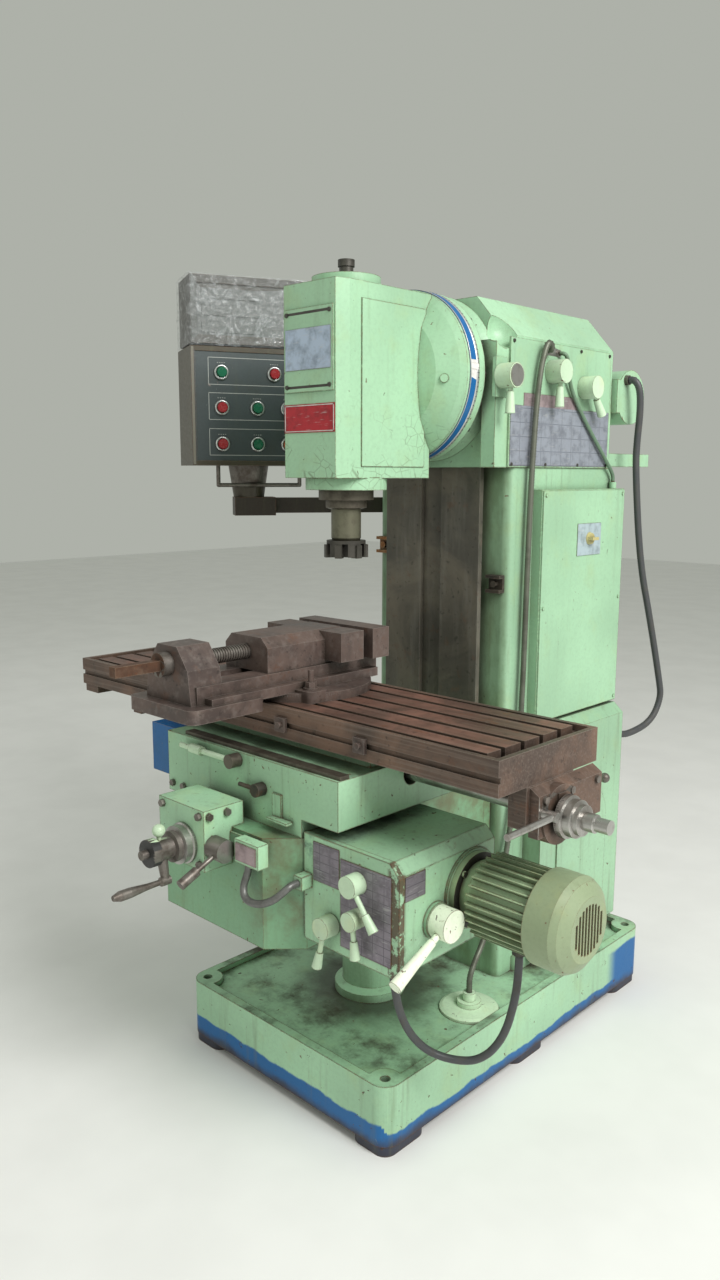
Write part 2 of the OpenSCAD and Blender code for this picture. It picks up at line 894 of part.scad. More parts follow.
module feed_lever_c() {
    feed_lever(feed_hubs[2], 6, 80, 40);
}

module feed_lever_long() {
    color(paint)
        translate([gear_x1, long_y, long_z])
            rotate([0, 90, 0]) {
                translate([0, 0, -28])
                    cylinder(d = 24, h = 34);
                translate([0, 0, 4 + gap])
                    cylinder(d = 68, h = 40);
                translate([0, 0, 26])
                    rotate([0, 0, 90 - 64])
                        rotate([90, 0, 0]) {
                            cylinder(d = 14, h = 60);
                            translate([0, 0, 50])
                                cylinder(d1 = 18, d2 = 28, h = 122);
                        }
            }
}

module cross_crank() {
    color(steel)
        translate([crank_x, crank_box_y, crank_z])
            rotate([90, 0, 0]) {
                translate([0, 0, crank_box_y + 80])
                    cylinder(d = 24, h = -80 - crank_box_y);
                translate([0, 0, gap])
                    turned([[45, 0], [45, 6], [42, 8], [42, 24], [34, 26], [34, 38], [24, 40], [24, 74],
                        [30, 76], [30, 96], [10, 97], [10, 112]]);
                // Clutch ball
                translate([0, 0, 66]) {
                    rotate([-90, 0, 0])
                        cylinder(d = 10, h = 40);
                    translate([0, 44, 0])
                        sphere(d = 28);
                }
                // Crank arm and its turned handle
                translate([0, 0, 62]) {
                    rotate([90, 0, 12])
                        cylinder(d1 = 26, d2 = 18, h = 66);
                    rotate([0, 0, 12])
                        translate([0, -66, -10])
                            turned([[10, 0], [10, 22], [6, 26], [7, 56], [11, 98], [11, 122], [6, 138]]);
                }
            }
}

module cross_lever() {
    color(paint)
        translate([24, -751, 688])
            rotate([0, 90, 0]) {
                translate([0, 0, -40])
                    cylinder(d = 20, h = 44);
                translate([0, 0, gap])
                    cylinder(d = 50, h = 44);
                translate([0, 0, 26])
                    rotate([0, 0, 90 - 66])
                        rotate([90, 0, 0]) {
                            cylinder(d = 11, h = 76);
                            translate([0, 0, 70])
                                cylinder(d = 22, h = 46);
                        }
            }
}

module elevating_screw() {
    color(steel)
        translate([0, -235, 0]) {
            translate([0, 0, 170])
                ridged_bar(60, 290, 12);
            translate([0, 0, 459])
                cylinder(d = 66, h = knee_top - 53 - 459);
        }
}

module saddle() {
    color(paint)
        difference() {
            union() {
                // Lower slide on the knee
                box(saddle_x0, knee_x1 - 5, saddle_y0, saddle_y1, knee_top + gap, 790);
                // Upper body that reaches out on both sides
                box(saddle_x0, saddle_x1, saddle_y0, saddle_y1, 759, saddle_top);
                // Dovetail that guides the table
                box(saddle_x0 + 20, saddle_x1 - 20, table_y - 110, table_y + 110, saddle_top - 1,
                    table_under - gap);
                // Nut of the cross screw
                box(crank_x - 20, crank_x + 20, -480, -400, 668, knee_top + gap + join);
                // Front ledge with the trip strip
                box(saddle_x0 + 60, saddle_x1 - 2, saddle_y0 + 8, saddle_y0 + 34, saddle_top - 1,
                    saddle_top + 8);
            }
            bar_y(-481, -399, 24.8, crank_x, crank_z);
            // Way for the table screw
            bar_x(saddle_x0 - 1, saddle_x1 + 1, 52, screw_y, screw_z);
            box(knee_x1 - 6, saddle_x1 + 1, saddle_y0 - 1, saddle_y1 + 1, 700, 759.5);
            bar_y(saddle_y0 - 1, saddle_y0 + 40, 14.1, -23, 848);
            bar_y(saddle_y0 - 1, saddle_y0 + 40, 14.1, 60, 800);
        }
    // Stop bracket and oil cups on the front
    color(paint) {
        box(96, 124, saddle_y0 - 5, saddle_y0, 744, 800);
        box(96, 160, saddle_y0 - 22, saddle_y0 - 4, 744, 750);
    }
    color(steel)
        for (x = [saddle_x0 + 18, saddle_x0 + 60], z = [740])
            translate([x, saddle_y0, z])
                rotate([90, 0, 0])
                    hex_head(16, 8);
}

// Sheet metal guard on the saddle's left end
module saddle_cover() {
    color(blue_paint)
        difference() {
            box(saddle_x0 - 110, saddle_x0, saddle_y0 + 30, saddle_y0 + 170, 740, 862);
            box(saddle_x0 - 107, saddle_x0 + 1, saddle_y0 + 33, saddle_y0 + 167, 739, 859);
        }
}

// Saddle clamp: boss with a bar that lies along the saddle
module saddle_lock() {
    color("#6d5a45")
        translate([-23, saddle_y0, 848])
            rotate([90, 0, 0]) {
                translate([0, 0, -38])
                    cylinder(d = 14, h = 40);
                translate([0, 0, gap])
                    cylinder(d = 32, h = 28);
            }
    color(paint)
        translate([-23, saddle_y0 - 16, 848])
            rotate([0, -90, 0]) {
                cylinder(d = 13, h = 190);
                translate([0, 0, 110])
                    cylinder(d = 22, h = 40);
            }
}

module table_lock() {
    color("#6d5a45")
        translate([60, saddle_y0, 800])
            rotate([90, 0, 0]) {
                translate([0, 0, -38])
                    cylinder(d = 14, h = 40);
                translate([0, 0, gap])
                    cylinder(d = 30, h = 24);
                translate([0, 0, 14])
                    rotate([0, -90, 0])
                        cylinder(d = 10, h = 62);
            }
}

module table() {
    slots = 4;
    end_gutter = 44;
    color(iron)
        difference() {
            union() {
                box(table_x0, table_x1, table_y0, table_y1, table_under, table_z);
                // Rounded nose at the left end
                box(table_x0, table_x0 + 60, table_y0 + 8, table_y1 - 8, table_under - 22, table_under + join);
            }
            // T-slots
            for (i = [0 : slots - 1])
                translate([0, table_y + (i - (slots - 1) / 2) * slot_pitch, 0]) {
                    box(table_x0 + end_gutter, table_x1 - end_gutter, -slot_w / 2, slot_w / 2,
                        table_z - 24, table_z + 1);
                    box(table_x0 + end_gutter, table_x1 - end_gutter, -slot_w * 0.8, slot_w * 0.8,
                        table_z - 36, table_z - 20);
                }
            // Coolant gutters at the ends and along both edges
            for (x = [table_x0 + 12, table_x1 - end_gutter])
                box(x, x + end_gutter - 12, table_y0 + 12, table_y1 - 12, table_z - 36, table_z + 1);
            for (y = [table_y0 + 12, table_y1 - 24])
                box(table_x0 + 13, table_x1 - 13, y, y + 12, table_z - 14, table_z + 1);
            // Groove for the trip dogs
            box(table_x0 - 1, table_x1 + 1, table_y0 - 1, table_y0 + 6, table_under + 26,
                table_under + 38);
        }
    // Trip dogs and clamp bolts
    color(steel)
        for (x = [-180, 60, 300]) {
            box(x - 16, x + 16, table_y0 - 8, table_y0, table_under + 16, table_under + 48);
            bar_y(table_y0 - 14, table_y0 - 8, 14, x, table_under + 32);
        }
}

module end_bracket() {
    color(iron) {
        difference() {
            union() {
                // Plate with a sloping top edge below the table's end
                translate([0, table_y1 - 14, 0])
                    rotate([90, 0, 0])
                        linear_extrude(table_w - 112)
                            polygon([[table_x1, screw_z - 34], [table_x1 + 22, screw_z - 34],
                                [table_x1 + 22, table_under - 16], [table_x1, table_under - 2]]);
                bar_x(table_x1, table_x1 + 26, 118, screw_y, screw_z);
                box(table_x1, table_x1 + 30, screw_y - 14, screw_y + 14, screw_z, table_under - 20);
                // Carrier under the table's end
                box(table_x1 - 40, table_x1 + 1, table_y - 80, table_y + 80, screw_z - 20,
                    table_under);
            }
            bar_x(table_x1 - 50, table_x1 + 40, 30.1, screw_y, screw_z);
        }
    }
    // Matching bearing at the left end
    color(iron)
        difference() {
            box(table_x0 + 60 + 2, table_x0 + 100, table_y - 50, table_y + 50, screw_z - 28, table_under);
            bar_x(table_x0, table_x0 + 120, 30.1, screw_y, screw_z);
        }
    // Clamping bar
    color(steel) {
        bar_x(table_x1 + 21, table_x1 + 54, 20, table_y0 + 112, screw_z + 14);
        bar_y(table_y0 - 36, table_y0 + 124, 13, table_x1 + 46, screw_z + 14);
        for (y = [table_y0 + 118, table_y + 40, table_y1 - 34], z = [table_under - 26])
            bar_x(table_x1 + 21, table_x1 + 28, 15, y, z);
    }
}

module table_screw() {
    color(steel) {
        bar_x(table_x0 + 55, table_x1 + 40, 30, screw_y, screw_z);
        translate([table_x1 + 36 + gap, screw_y, screw_z])
            rotate([0, 90, 0])
                turned([[42, 0], [42, 12], [37, 14], [37, 30], [30, 32], [30, 42], [18, 44], [18, 66],
                    [14, 68], [14, 96]]);
    }
}

module vise_base() {
    half = 82;
    color(iron) {
        difference() {
            union() {
                // Graduated swivel disc with its clamp lugs
                bar_z(table_z, table_z + 20, 340, vise_x, table_y + 6);
                for (s = [-1, 1])
                    translate([vise_x + s * 120, table_y + 6 - s * 84, table_z])
                        linear_extrude(26)
                            rounded(74, 58, 14);
                // Bed
                box(vise_x - half, vise_x + half, vise_y0 + 40, vise_y1, table_z + 19, vise_bed);
                box(vise_x - half - 24, vise_x + half + 24, vise_y0 + 60, vise_y1 - 20, table_z + 19,
                    table_z + 40);
                // Foot under the front end
                translate([vise_x, vise_y0 + 100, table_z - 4])
                    linear_extrude(30)
                        rounded(2 * half + 70, 200, 22);
                // Front bearing of the screw
                translate([0, vise_y0 + 110, 0])
                    rotate([90, 0, 0])
                        linear_extrude(84)
                            polygon([[vise_x - half, table_z + 10], [vise_x + half, table_z + 10],
                                [vise_x + half - 12, 1070], [vise_x + 34, 1118],
                                [vise_x - 34, 1118], [vise_x - half + 12, 1070]]);
                // Fixed jaw
                box(vise_x - half - 10, vise_x + half + 10, vise_y1 - 58, vise_y1, vise_bed - 1, 1078);
                box(vise_x - jaw_w / 2, vise_x + jaw_w / 2, vise_y1 - 62, vise_y1 - 6, 1040, 1112);
            }
            bar_y(vise_y0, vise_y0 + 150, vise_screw_d + 0.1, vise_x, vise_z);
            // Slot that guides the moving jaw
            box(vise_x - 22, vise_x + 22, vise_y0 + 112, vise_y1 - 98, table_z + 46, vise_bed + 1);
            for (s = [-1, 1])
                bar_z(table_z - 10, table_z + 60, 15, vise_x + s * 128, table_y + 6 - s * 84);
        }
    }
    // Clamping studs with washers and nuts
    color("#7b5a48")
        for (s = [-1, 1])
            translate([vise_x + s * 128, table_y + 6 - s * 84, table_z + 26]) {
                cylinder(d = 34, h = 4);
                translate([0, 0, 3])
                    hex_head(26, 14);
                cylinder(d = 13, h = 44);
            }
}

module vise_jaw() {
    half = 74;
    y0 = -575;
    y1 = -330;
    color(iron)
        difference() {
            union() {
                translate([0, y1, 0])
                    rotate([90, 0, 0])
                        linear_extrude(y1 - y0)
                            polygon([[vise_x - half, vise_bed + gap], [vise_x + half, vise_bed + gap],
                                [vise_x + half, 1092], [vise_x + half - 22, 1114],
                                [vise_x - half + 22, 1114], [vise_x - half, 1092]]);
                box(vise_x - jaw_w / 2, vise_x + jaw_w / 2, y1 - 70, y1 + 4, 1044, 1112);
            }
            bar_y(y0 - 1, y1 - 10, vise_screw_d + 0.6, vise_x, vise_z);
        }
    // Guide tongue in the bed's slot
    color(iron)
        box(vise_x - 21.6, vise_x + 21.6, y0 + 40, y1 - 40, vise_bed - 18, vise_bed + gap + join);
}

module vise_screw() {
    color(steel)
        translate([vise_x, 0, vise_z])
            rotate([90, 0, 0]) {
                translate([0, 0, 460])
                    ridged_bar(vise_screw_d - 0.6, 240, 7);
                translate([0, 0, 699])
                    cylinder(d = vise_screw_d, h = 96);
                translate([0, 0, 789 + gap])
                    cylinder(d = 52, h = 24);
                translate([-11, -11, 812])
                    cube([22, 22, 110]);
            }
}

// Swinging arm from the column bracket to the pendant's neck
module pendant_arm() {
    run = [pendant_x - arm_x, pendant_y - arm_y];
    reach = norm(run);
    heading = atan2(run[1], run[0]);
    color(dark)
        difference() {
            translate([arm_x, arm_y, arm_z])
                rotate([0, 0, heading]) {
                    translate([0, 0, -30 + gap])
                        cylinder(d = 50, h = 60 - 2 * gap);
                    translate([0, -18, -22])
                        cube([reach, 36, 42]);
                    translate([reach - 70, -42, -28])
                        cube([112, 84, 50]);
                }
            bar_z(arm_z - 40, arm_z + 40, 24.05, arm_x, arm_y);
            bar_z(arm_z - 16, arm_z + 30, 50.05, pendant_x, pendant_y);
        }
}

// Places its children in the panel's own axes: X along its width, -Y out of its front
module on_pendant() {
    translate([pendant_x, pendant_y, 0])
        rotate([0, 0, pendant_turn])
            children();
}

module pendant_box() {
    frame_t = 3;
    front = -panel_depth / 2;
    color("#4c4436")
        on_pendant()
            difference() {
                union() {
                    box(-panel_w / 2, panel_w / 2, front, panel_depth / 2, panel_z, panel_z + panel_h);
                    // Neck and swivel stub
                    translate([0, 0, arm_z + 22 + gap])
                        cylinder(d1 = 84, d2 = 110, h = panel_z - arm_z - 21);
                    translate([0, 0, arm_z - 16 + gap])
                        cylinder(d = 50, h = 60);
                }
                // Recess that shows the panel face inside its frame
                box(-panel_w / 2 + 12, panel_w / 2 - 12, front - 1, front + frame_t, panel_z + 12,
                    panel_z + panel_h - 12);
                // Holes for the controls
                for (c = controls)
                    translate([c[0] - panel_w / 2, front + 40, panel_z + c[1]])
                        rotate([90, 0, 0])
                            cylinder(d = 16.6, h = 60);
            }
    // Bent-rod handle below the box
    color(steel)
        on_pendant()
            translate([0, front + 30, 0]) {
                for (x = [-panel_w / 2 + 74, panel_w / 2 - 40])
                    bar_z(panel_z - 52, panel_z + join, 11, x, 0);
                bar_x(-panel_w / 2 + 74, panel_w / 2 - 40, 11, 0, panel_z - 52);
                for (x = [-panel_w / 2 + 74, panel_w / 2 - 40])
                    translate([x, 0, panel_z - 52])
                        sphere(d = 11);
            }
}

// Centre of each control from the panel's left edge and its foot
controls = [[column_at[0], row_at[0]], [column_at[2] - 36, row_at[0]], [column_at[0], row_at[1]],
    [column_at[1], row_at[1]], [column_at[2], row_at[1]], [column_at[0], row_at[2]],
    [column_at[1], row_at[2]], [column_at[2], row_at[2]]];

// Digital readout on top of the pendant
module readout_box() {
    front = -panel_depth / 2 + 6;
    z0 = panel_z + panel_h + 8;
    color("#8d8f90")
        on_pendant()
            difference() {
                box(-panel_w / 2 + 4, panel_w / 2 - 10, front, panel_depth / 2 - 12, z0, z0 + readout_h);
                box(-panel_w / 2 + 22, panel_w / 2 - 28, front - 1, front + 4, z0 + 20,
                    z0 + readout_h - 20);
            }
    color(dark)
        on_pendant() {
            box(-60, 60, -30, 30, panel_z + panel_h, z0);
            for (i = [0 : 2])
                box(-panel_w / 2 + 34, 20, front + 2, front + 4 + join, z0 + 28 + i * 42, z0 + 54 + i * 42);
        }
}

// Push button: collar, cap and stem in the panel
module push_button(i, tint) {
    front = -panel_depth / 2 + 3;
    color(tint)
        on_pendant()
            translate([controls[i][0] - panel_w / 2, front, panel_z + controls[i][1]])
                rotate([90, 0, 0]) {
                    translate([0, 0, -24])
                        cylinder(d = 16, h = 30);
                    translate([0, 0, 5])
                        turned([[button_d / 2, 0], [button_d / 2, 5], [button_d / 2 - 2, 8]]);
                }
}

module button_start() {
    push_button(0, "#1f6b45");
}

module button_stop() {
    push_button(1, "#a13546");
}

module button_feed_stop() {
    push_button(2, "#a1483f");
}

module button_feed_start() {
    push_button(3, "#1f6b45");
}

module selector() {
    front = -panel_depth / 2 + 3;
    color("#a9b0b3")
        on_pendant()
            translate([controls[4][0] - panel_w / 2, front, panel_z + controls[4][1]])
                rotate([90, 0, 0]) {
                    translate([0, 0, -24])
                        cylinder(d = 16, h = 30);
                    translate([0, 0, gap])
                        cylinder(d = 34, h = 6);
                    rotate([0, 0, -35])
                        translate([-5, -19, 5])
                            cube([10, 38, 14]);
                }
}

module button_coolant_stop() {
    push_button(5, "#a1483f");
}

module button_coolant_start() {
    push_button(6, "#1f6b45");
}

module button_light() {
    push_button(7, "#b8653f");
}

base();
column();
column_ways();
headstock();
headstock_cover();
cabinet();
cabinet_door();
tank_block();
main_motor();
screw_tube();
column_brackets();
column_conduit();
rear_conduit();
cabinet_cable();
speed_lever_front();
speed_lever_middle();
speed_lever_rear();
cabinet_knob();
head_housing();
head_cover();
graduated_ring();
spindle();
arbor();
face_mill();
knee();
crank_box();
feed_gearbox();
feed_motor();
fan_cover();
motor_fan();
feed_hose();
switch_hose();
feed_lever_a();
feed_lever_b();
feed_lever_c();
feed_lever_long();
cross_crank();
cross_lever();
elevating_screw();
saddle();
saddle_cover();
saddle_lock();
table_lock();
table();
end_bracket();
table_screw();
vise_base();
vise_jaw();
vise_screw();
pendant_arm();
pendant_box();
readout_box();
button_start();
button_stop();
button_feed_stop();
button_feed_start();
selector();
button_coolant_stop();
button_coolant_start();
button_light();
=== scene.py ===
"""Looks of the vertical milling machine: camera, cords, small added pieces and procedural materials."""
import math

import bmesh
import bpy
from mathutils import Matrix, Vector, noise


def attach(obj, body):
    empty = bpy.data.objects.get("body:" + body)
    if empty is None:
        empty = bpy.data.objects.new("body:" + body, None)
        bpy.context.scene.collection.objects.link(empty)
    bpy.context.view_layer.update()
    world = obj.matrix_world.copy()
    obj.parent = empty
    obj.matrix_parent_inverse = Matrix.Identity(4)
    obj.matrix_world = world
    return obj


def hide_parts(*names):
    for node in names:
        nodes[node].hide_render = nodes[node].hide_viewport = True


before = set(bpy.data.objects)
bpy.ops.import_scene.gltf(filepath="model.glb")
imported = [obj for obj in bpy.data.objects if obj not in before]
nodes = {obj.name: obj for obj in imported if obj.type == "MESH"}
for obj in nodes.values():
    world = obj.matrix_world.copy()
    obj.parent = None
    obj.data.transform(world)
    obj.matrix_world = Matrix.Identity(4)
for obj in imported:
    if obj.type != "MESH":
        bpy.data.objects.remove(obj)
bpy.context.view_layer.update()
MM = 0.001

# ---------------------------------------------------------------- camera and light


def make_camera():
    azimuth, pitch, roll = (math.radians(a) for a in (43.95, 9.61, 0.17))
    ahead = Vector((-math.sin(azimuth), math.cos(azimuth), 0))
    right = Vector((math.cos(azimuth), math.sin(azimuth), 0))
    up = Vector((0, 0, 1))
    look = math.cos(pitch) * ahead - math.sin(pitch) * up
    top = math.sin(pitch) * ahead + math.cos(pitch) * up
    across = math.cos(roll) * right + math.sin(roll) * top
    top = math.cos(roll) * top - math.sin(roll) * right
    data = bpy.data.cameras.new("camera")
    data.lens = 27.515
    data.sensor_width = 36
    cam = bpy.data.objects.new("camera", data)
    place = Matrix((across, top, -look)).transposed().to_4x4()
    place.translation = Vector((1.6264, -1.9641, 1.4725))
    cam.matrix_world = place
    bpy.context.scene.collection.objects.link(cam)
    bpy.context.scene.camera = cam


def area_light(name, where, target, size, power, tint=(1, 1, 1)):
    data = bpy.data.lights.new(name, "AREA")
    data.shape, data.size, data.energy, data.color = "SQUARE", size, power, tint
    lamp = bpy.data.objects.new(name, data)
    lamp.location = where
    lamp.rotation_mode = "QUATERNION"
    lamp.rotation_quaternion = (Vector(target) - Vector(where)).to_track_quat("-Z", "Y")
    bpy.context.scene.collection.objects.link(lamp)


make_camera()

# Planes and centres of the CAD, in millimetres, and the way that the pendant panel faces
SIDE = 218
HEAD_FRONT = -441
COVER_FACE = 223
DOOR_FACE = 251
SWIVEL_Z = 1705
SPINDLE_Y = -325
TABLE_FRONT = -584.5
SADDLE_FRONT = -642
GEAR_FRONT = -642
GEAR_SIDE = 454
CRANK_FRONT = -775
CRANK_X, CRANK_Z = -45, 686
SCREW_Y, SCREW_Z = -417, 836
MOTOR_Y = -412
PANEL_WAY = (0.906, -0.423, 0)

# ---------------------------------------------------------------- material nodes


class Tree:
    """A material whose nodes are made by short calls; each call returns a socket."""

    def __init__(self, name):
        self.material = bpy.data.materials.new(name)
        self.material.use_nodes = True
        self.tree = self.material.node_tree
        self.tree.nodes.clear()
        out = self.add("ShaderNodeOutputMaterial")
        self.shader = self.add("ShaderNodeBsdfPrincipled")
        self.tree.links.new(self.shader.outputs[0], out.inputs[0])
        self.place = self.add("ShaderNodeTexCoord").outputs["Object"]

    def add(self, kind, **settings):
        node = self.tree.nodes.new(kind)
        for key, value in settings.items():
            setattr(node, key, value)
        return node

    def put(self, socket, value):
        if isinstance(value, bpy.types.NodeSocket):
            self.tree.links.new(value, socket)
        elif isinstance(value, (tuple, list)) and len(value) == 3 and socket.type == "RGBA":
            socket.default_value = (*value, 1)
        else:
            socket.default_value = value

    def math(self, kind, a, b=0.0):
        node = self.add("ShaderNodeMath", operation=kind)
        self.put(node.inputs[0], a)
        self.put(node.inputs[1], b)
        return node.outputs[0]

    def times(self, a, b):
        return self.math("MULTIPLY", a, b)

    def plus(self, a, b):
        return self.math("ADD", a, b)

    def step(self, value, low, high):
        """0 below low and 1 above high, smooth between; falls where low is above high."""
        node = self.add("ShaderNodeMapRange", interpolation_type="SMOOTHSTEP")
        self.put(node.inputs["Value"], value)
        self.put(node.inputs["From Min"], min(low, high))
        self.put(node.inputs["From Max"], max(low, high))
        if low > high:
            self.put(node.inputs["To Min"], 1.0)
            self.put(node.inputs["To Max"], 0.0)
        return node.outputs["Result"]

    def mix(self, part, a, b):
        node = self.add("ShaderNodeMix", data_type="RGBA")
        self.put(node.inputs[0], part)
        self.put(node.inputs[6], a)
        self.put(node.inputs[7], b)
        return node.outputs[2]

    def blend(self, part, a, b):
        node = self.add("ShaderNodeMix", data_type="FLOAT")
        self.put(node.inputs[0], part)
        self.put(node.inputs[2], a)
        self.put(node.inputs[3], b)
        return node.outputs[0]

    def mapped(self, scale=(1, 1, 1), shift=(0, 0, 0), turn=0.0):
        node = self.add("ShaderNodeMapping")
        self.put(node.inputs["Vector"], self.place)
        node.inputs["Location"].default_value = shift
        node.inputs["Rotation"].default_value = (0, 0, turn)
        node.inputs["Scale"].default_value = scale
        return node.outputs[0]

    def noise(self, scale, detail=4.0, rough=0.6, at=None, twist=0.0):
        node = self.add("ShaderNodeTexNoise")
        self.put(node.inputs["Vector"], at or self.place)
        self.put(node.inputs["Scale"], float(scale))
        self.put(node.inputs["Detail"], float(detail))
        self.put(node.inputs["Roughness"], rough)
        self.put(node.inputs["Distortion"], twist)
        return node.outputs[0]

    def cells(self, scale, at=None, feature="F1"):
        node = self.add("ShaderNodeTexVoronoi", feature=feature)
        self.put(node.inputs["Vector"], at or self.place)
        self.put(node.inputs["Scale"], float(scale))
        return node.outputs["Distance"]

    def axis(self, index, at=None):
        node = self.add("ShaderNodeSeparateXYZ")
        self.put(node.inputs[0], at or self.place)
        return node.outputs[index]

    def facing(self, index):
        """One component of the surface's own direction."""
        geometry = self.add("ShaderNodeNewGeometry")
        return self.axis(index, geometry.outputs["Normal"])

    def edges(self, width):
        """1 near sharp edges, 0 on flat faces."""
        bevel = self.add("ShaderNodeBevel", samples=4)
        self.put(bevel.inputs["Radius"], width)
        geometry = self.add("ShaderNodeNewGeometry")
        dot = self.add("ShaderNodeVectorMath", operation="DOT_PRODUCT")
        self.put(dot.inputs[0], bevel.outputs[0])
        self.put(dot.inputs[1], geometry.outputs["True Normal"])
        return self.step(dot.outputs["Value"], 0.998, 0.86)

    def hollow_shade(self, reach):
        """Ambient occlusion mask for painted shade: 1 in corners and narrow gaps, 0 on open faces."""
        node = self.add("ShaderNodeAmbientOcclusion", samples=4)
        self.put(node.inputs["Distance"], reach)
        return self.step(node.outputs["AO"], 0.85, 0.2)

    def finish(self, colour, rough, metal=0.0, height=None, depth=0.001, **more):
        self.put(self.shader.inputs["Base Color"], colour)
        self.put(self.shader.inputs["Roughness"], rough)
        self.put(self.shader.inputs["Metallic"], metal)
        for key, value in more.items():
            self.shader.inputs[key.replace("_", " ")].default_value = value
        if height is not None:
            bump = self.add("ShaderNodeBump")
            self.put(bump.inputs["Height"], height)
            bump.inputs["Strength"].default_value = 0.6
            bump.inputs["Distance"].default_value = depth
            self.tree.links.new(bump.outputs[0], self.shader.inputs["Normal"])
        return self.material


def shade(colour, by):
    return tuple(min(1, c * by) for c in colour)


MINT = (0.335, 0.55, 0.36)
RUST = (0.16, 0.055, 0.02)
PRIMER = (0.055, 0.035, 0.024)
# Dark brown used for dirt and for painted shade in corners and gaps.
GRIME_AND_SHADE = (0.045, 0.036, 0.022)
BLUE = (0.002, 0.115, 0.34)


def paint(name, tone=MINT, seed=0, chips=0.5, dirt=0.6, runs=0.3, edge=3.0, rough=0.4,
          under=PRIMER, extra=None, top_dirt=0.0, chip_size=30.0):
    """Old gloss paint over cast iron: uneven tone, runs, blotchy dirt with painted shade in corners and gaps,
    chips down to the primer.
    """
    g = Tree(name)
    at = g.mapped(shift=(seed * 1.7, seed * 0.9, seed * 2.3))
    broad = g.noise(2.4, 3, 0.5, at)
    mottled = g.noise(11, 6, 0.62, at)
    fine = g.noise(120, 6, 0.68, at)
    patch = g.noise(chip_size, 8, 0.66, at, 0.4)
    colour = g.mix(g.step(broad, 0.32, 0.68), shade(tone, 0.86), shade(tone, 1.08))
    yellow = (tone[0] * 1.02, tone[1] * 0.88, tone[2] * 0.72)
    colour = g.mix(g.times(g.step(mottled, 0.5, 0.72), 0.45), colour, yellow)
    colour = g.mix(g.times(g.step(fine, 0.42, 0.7), 0.22), colour, shade(tone, 0.62))
    if extra:
        colour = extra(g, colour)
    streak = g.noise(1, 5, 0.62, g.mapped((46, 46, 3.2), (seed, 2 * seed, 0)))
    colour = g.mix(g.times(g.step(streak, 0.52, 0.78), runs), colour, (0.13, 0.14, 0.07))
    # Painted shade in corners and gaps from ambient occlusion, mixed with blotchy dirt; dirt scales both.
    hollow = g.hollow_shade(0.045)
    dirt_and_shade_mask = g.times(g.step(g.plus(hollow, g.times(mottled, 0.6)), 0.45, 1.25), dirt)
    if top_dirt:
        up = g.step(g.facing(2), 0.7, 0.95)
        # Soil on upward faces, with a little painted corner shade from the occlusion mask mixed in.
        soil_and_shade = g.step(g.plus(g.noise(7, 7, 0.65, at), g.times(hollow, 0.35)), 0.44, 0.72)
        dirt_and_shade_mask = g.math("MAXIMUM", dirt_and_shade_mask, g.times(g.times(up, soil_and_shade), top_dirt))
    colour = g.mix(dirt_and_shade_mask, colour, GRIME_AND_SHADE)
    rim = g.edges(edge * MM)
    worn = g.plus(g.plus(g.times(rim, 0.36), g.times(patch, 0.62)), g.times(fine, 0.30))
    limit = 0.80 - 0.125 * chips
    halo = g.times(g.step(worn, limit - 0.09, limit), 0.55)
    colour = g.mix(halo, colour, (0.30, 0.27, 0.13))
    bare = g.step(worn, limit, limit + 0.02)
    speck_limit = 0.735 - 0.055 * chips
    specks = g.step(g.noise(85, 3, 0.5, at, 0.6), speck_limit, speck_limit + 0.015)
    specks = g.times(specks, g.step(patch, 0.47, 0.52))
    bare = g.math("MAXIMUM", bare, g.times(specks, 0.9))
    rusty = g.mix(g.step(fine, 0.4, 0.62), under, RUST)
    colour = g.mix(bare, colour, rusty)
    gloss = g.plus(g.times(fine, 0.28), rough - 0.12)
    gloss = g.blend(g.math("MAXIMUM", bare, g.times(dirt_and_shade_mask, 0.8)), gloss, 0.78)
    height = g.plus(g.times(fine, 0.12), g.times(g.math("SUBTRACT", 1.0, bare), 0.55))
    height = g.plus(height, g.times(g.noise(34, 3, 0.5, at), 0.5))
    return g.finish(colour, gloss, 0.0, height, 0.0012)


def iron(name, low=(0.060, 0.043, 0.036), high=(0.15, 0.088, 0.062), rub=(0.20, 0.17, 0.15),
         along=(6, 160, 160), seed=0, rough=0.5, rust=0.3, edge=2.5, metal=0.25):
    """Oiled machined iron with brown stain, fine tool marks, rubbed bright edges and rust."""
    g = Tree(name)
    at = g.mapped(shift=(seed * 1.3, seed, seed * 0.7))
    stain = g.noise(5, 7, 0.66, at, 0.6)
    fine = g.noise(140, 5, 0.7, at)
    marks = g.noise(1, 4, 0.6, g.mapped(along))
    colour = g.mix(g.step(stain, 0.36, 0.68), low, high)
    colour = g.mix(g.times(g.step(marks, 0.45, 0.75), 0.35), colour, rub)
    colour = g.mix(g.times(g.step(g.noise(26, 7, 0.7, at), 0.56, 0.68), rust), colour, RUST)
    colour = g.mix(g.times(g.step(g.noise(60, 6, 0.7, at), 0.58, 0.66), 0.6), colour, shade(low, 0.45))
    rim = g.edges(edge * MM)
    colour = g.mix(g.times(g.step(g.plus(rim, g.times(fine, 0.5)), 0.62, 1.1), 0.75), colour, rub)
    # Painted shade: ambient occlusion darkens corners and gaps.
    colour = g.mix(g.times(g.hollow_shade(0.04), 0.8), colour, shade(GRIME_AND_SHADE, 0.5))
    gloss = g.plus(g.times(stain, 0.35), rough - 0.16)
    height = g.plus(g.times(fine, 0.5), g.times(marks, 0.6))
    return g.finish(colour, gloss, metal, height, 0.0005)


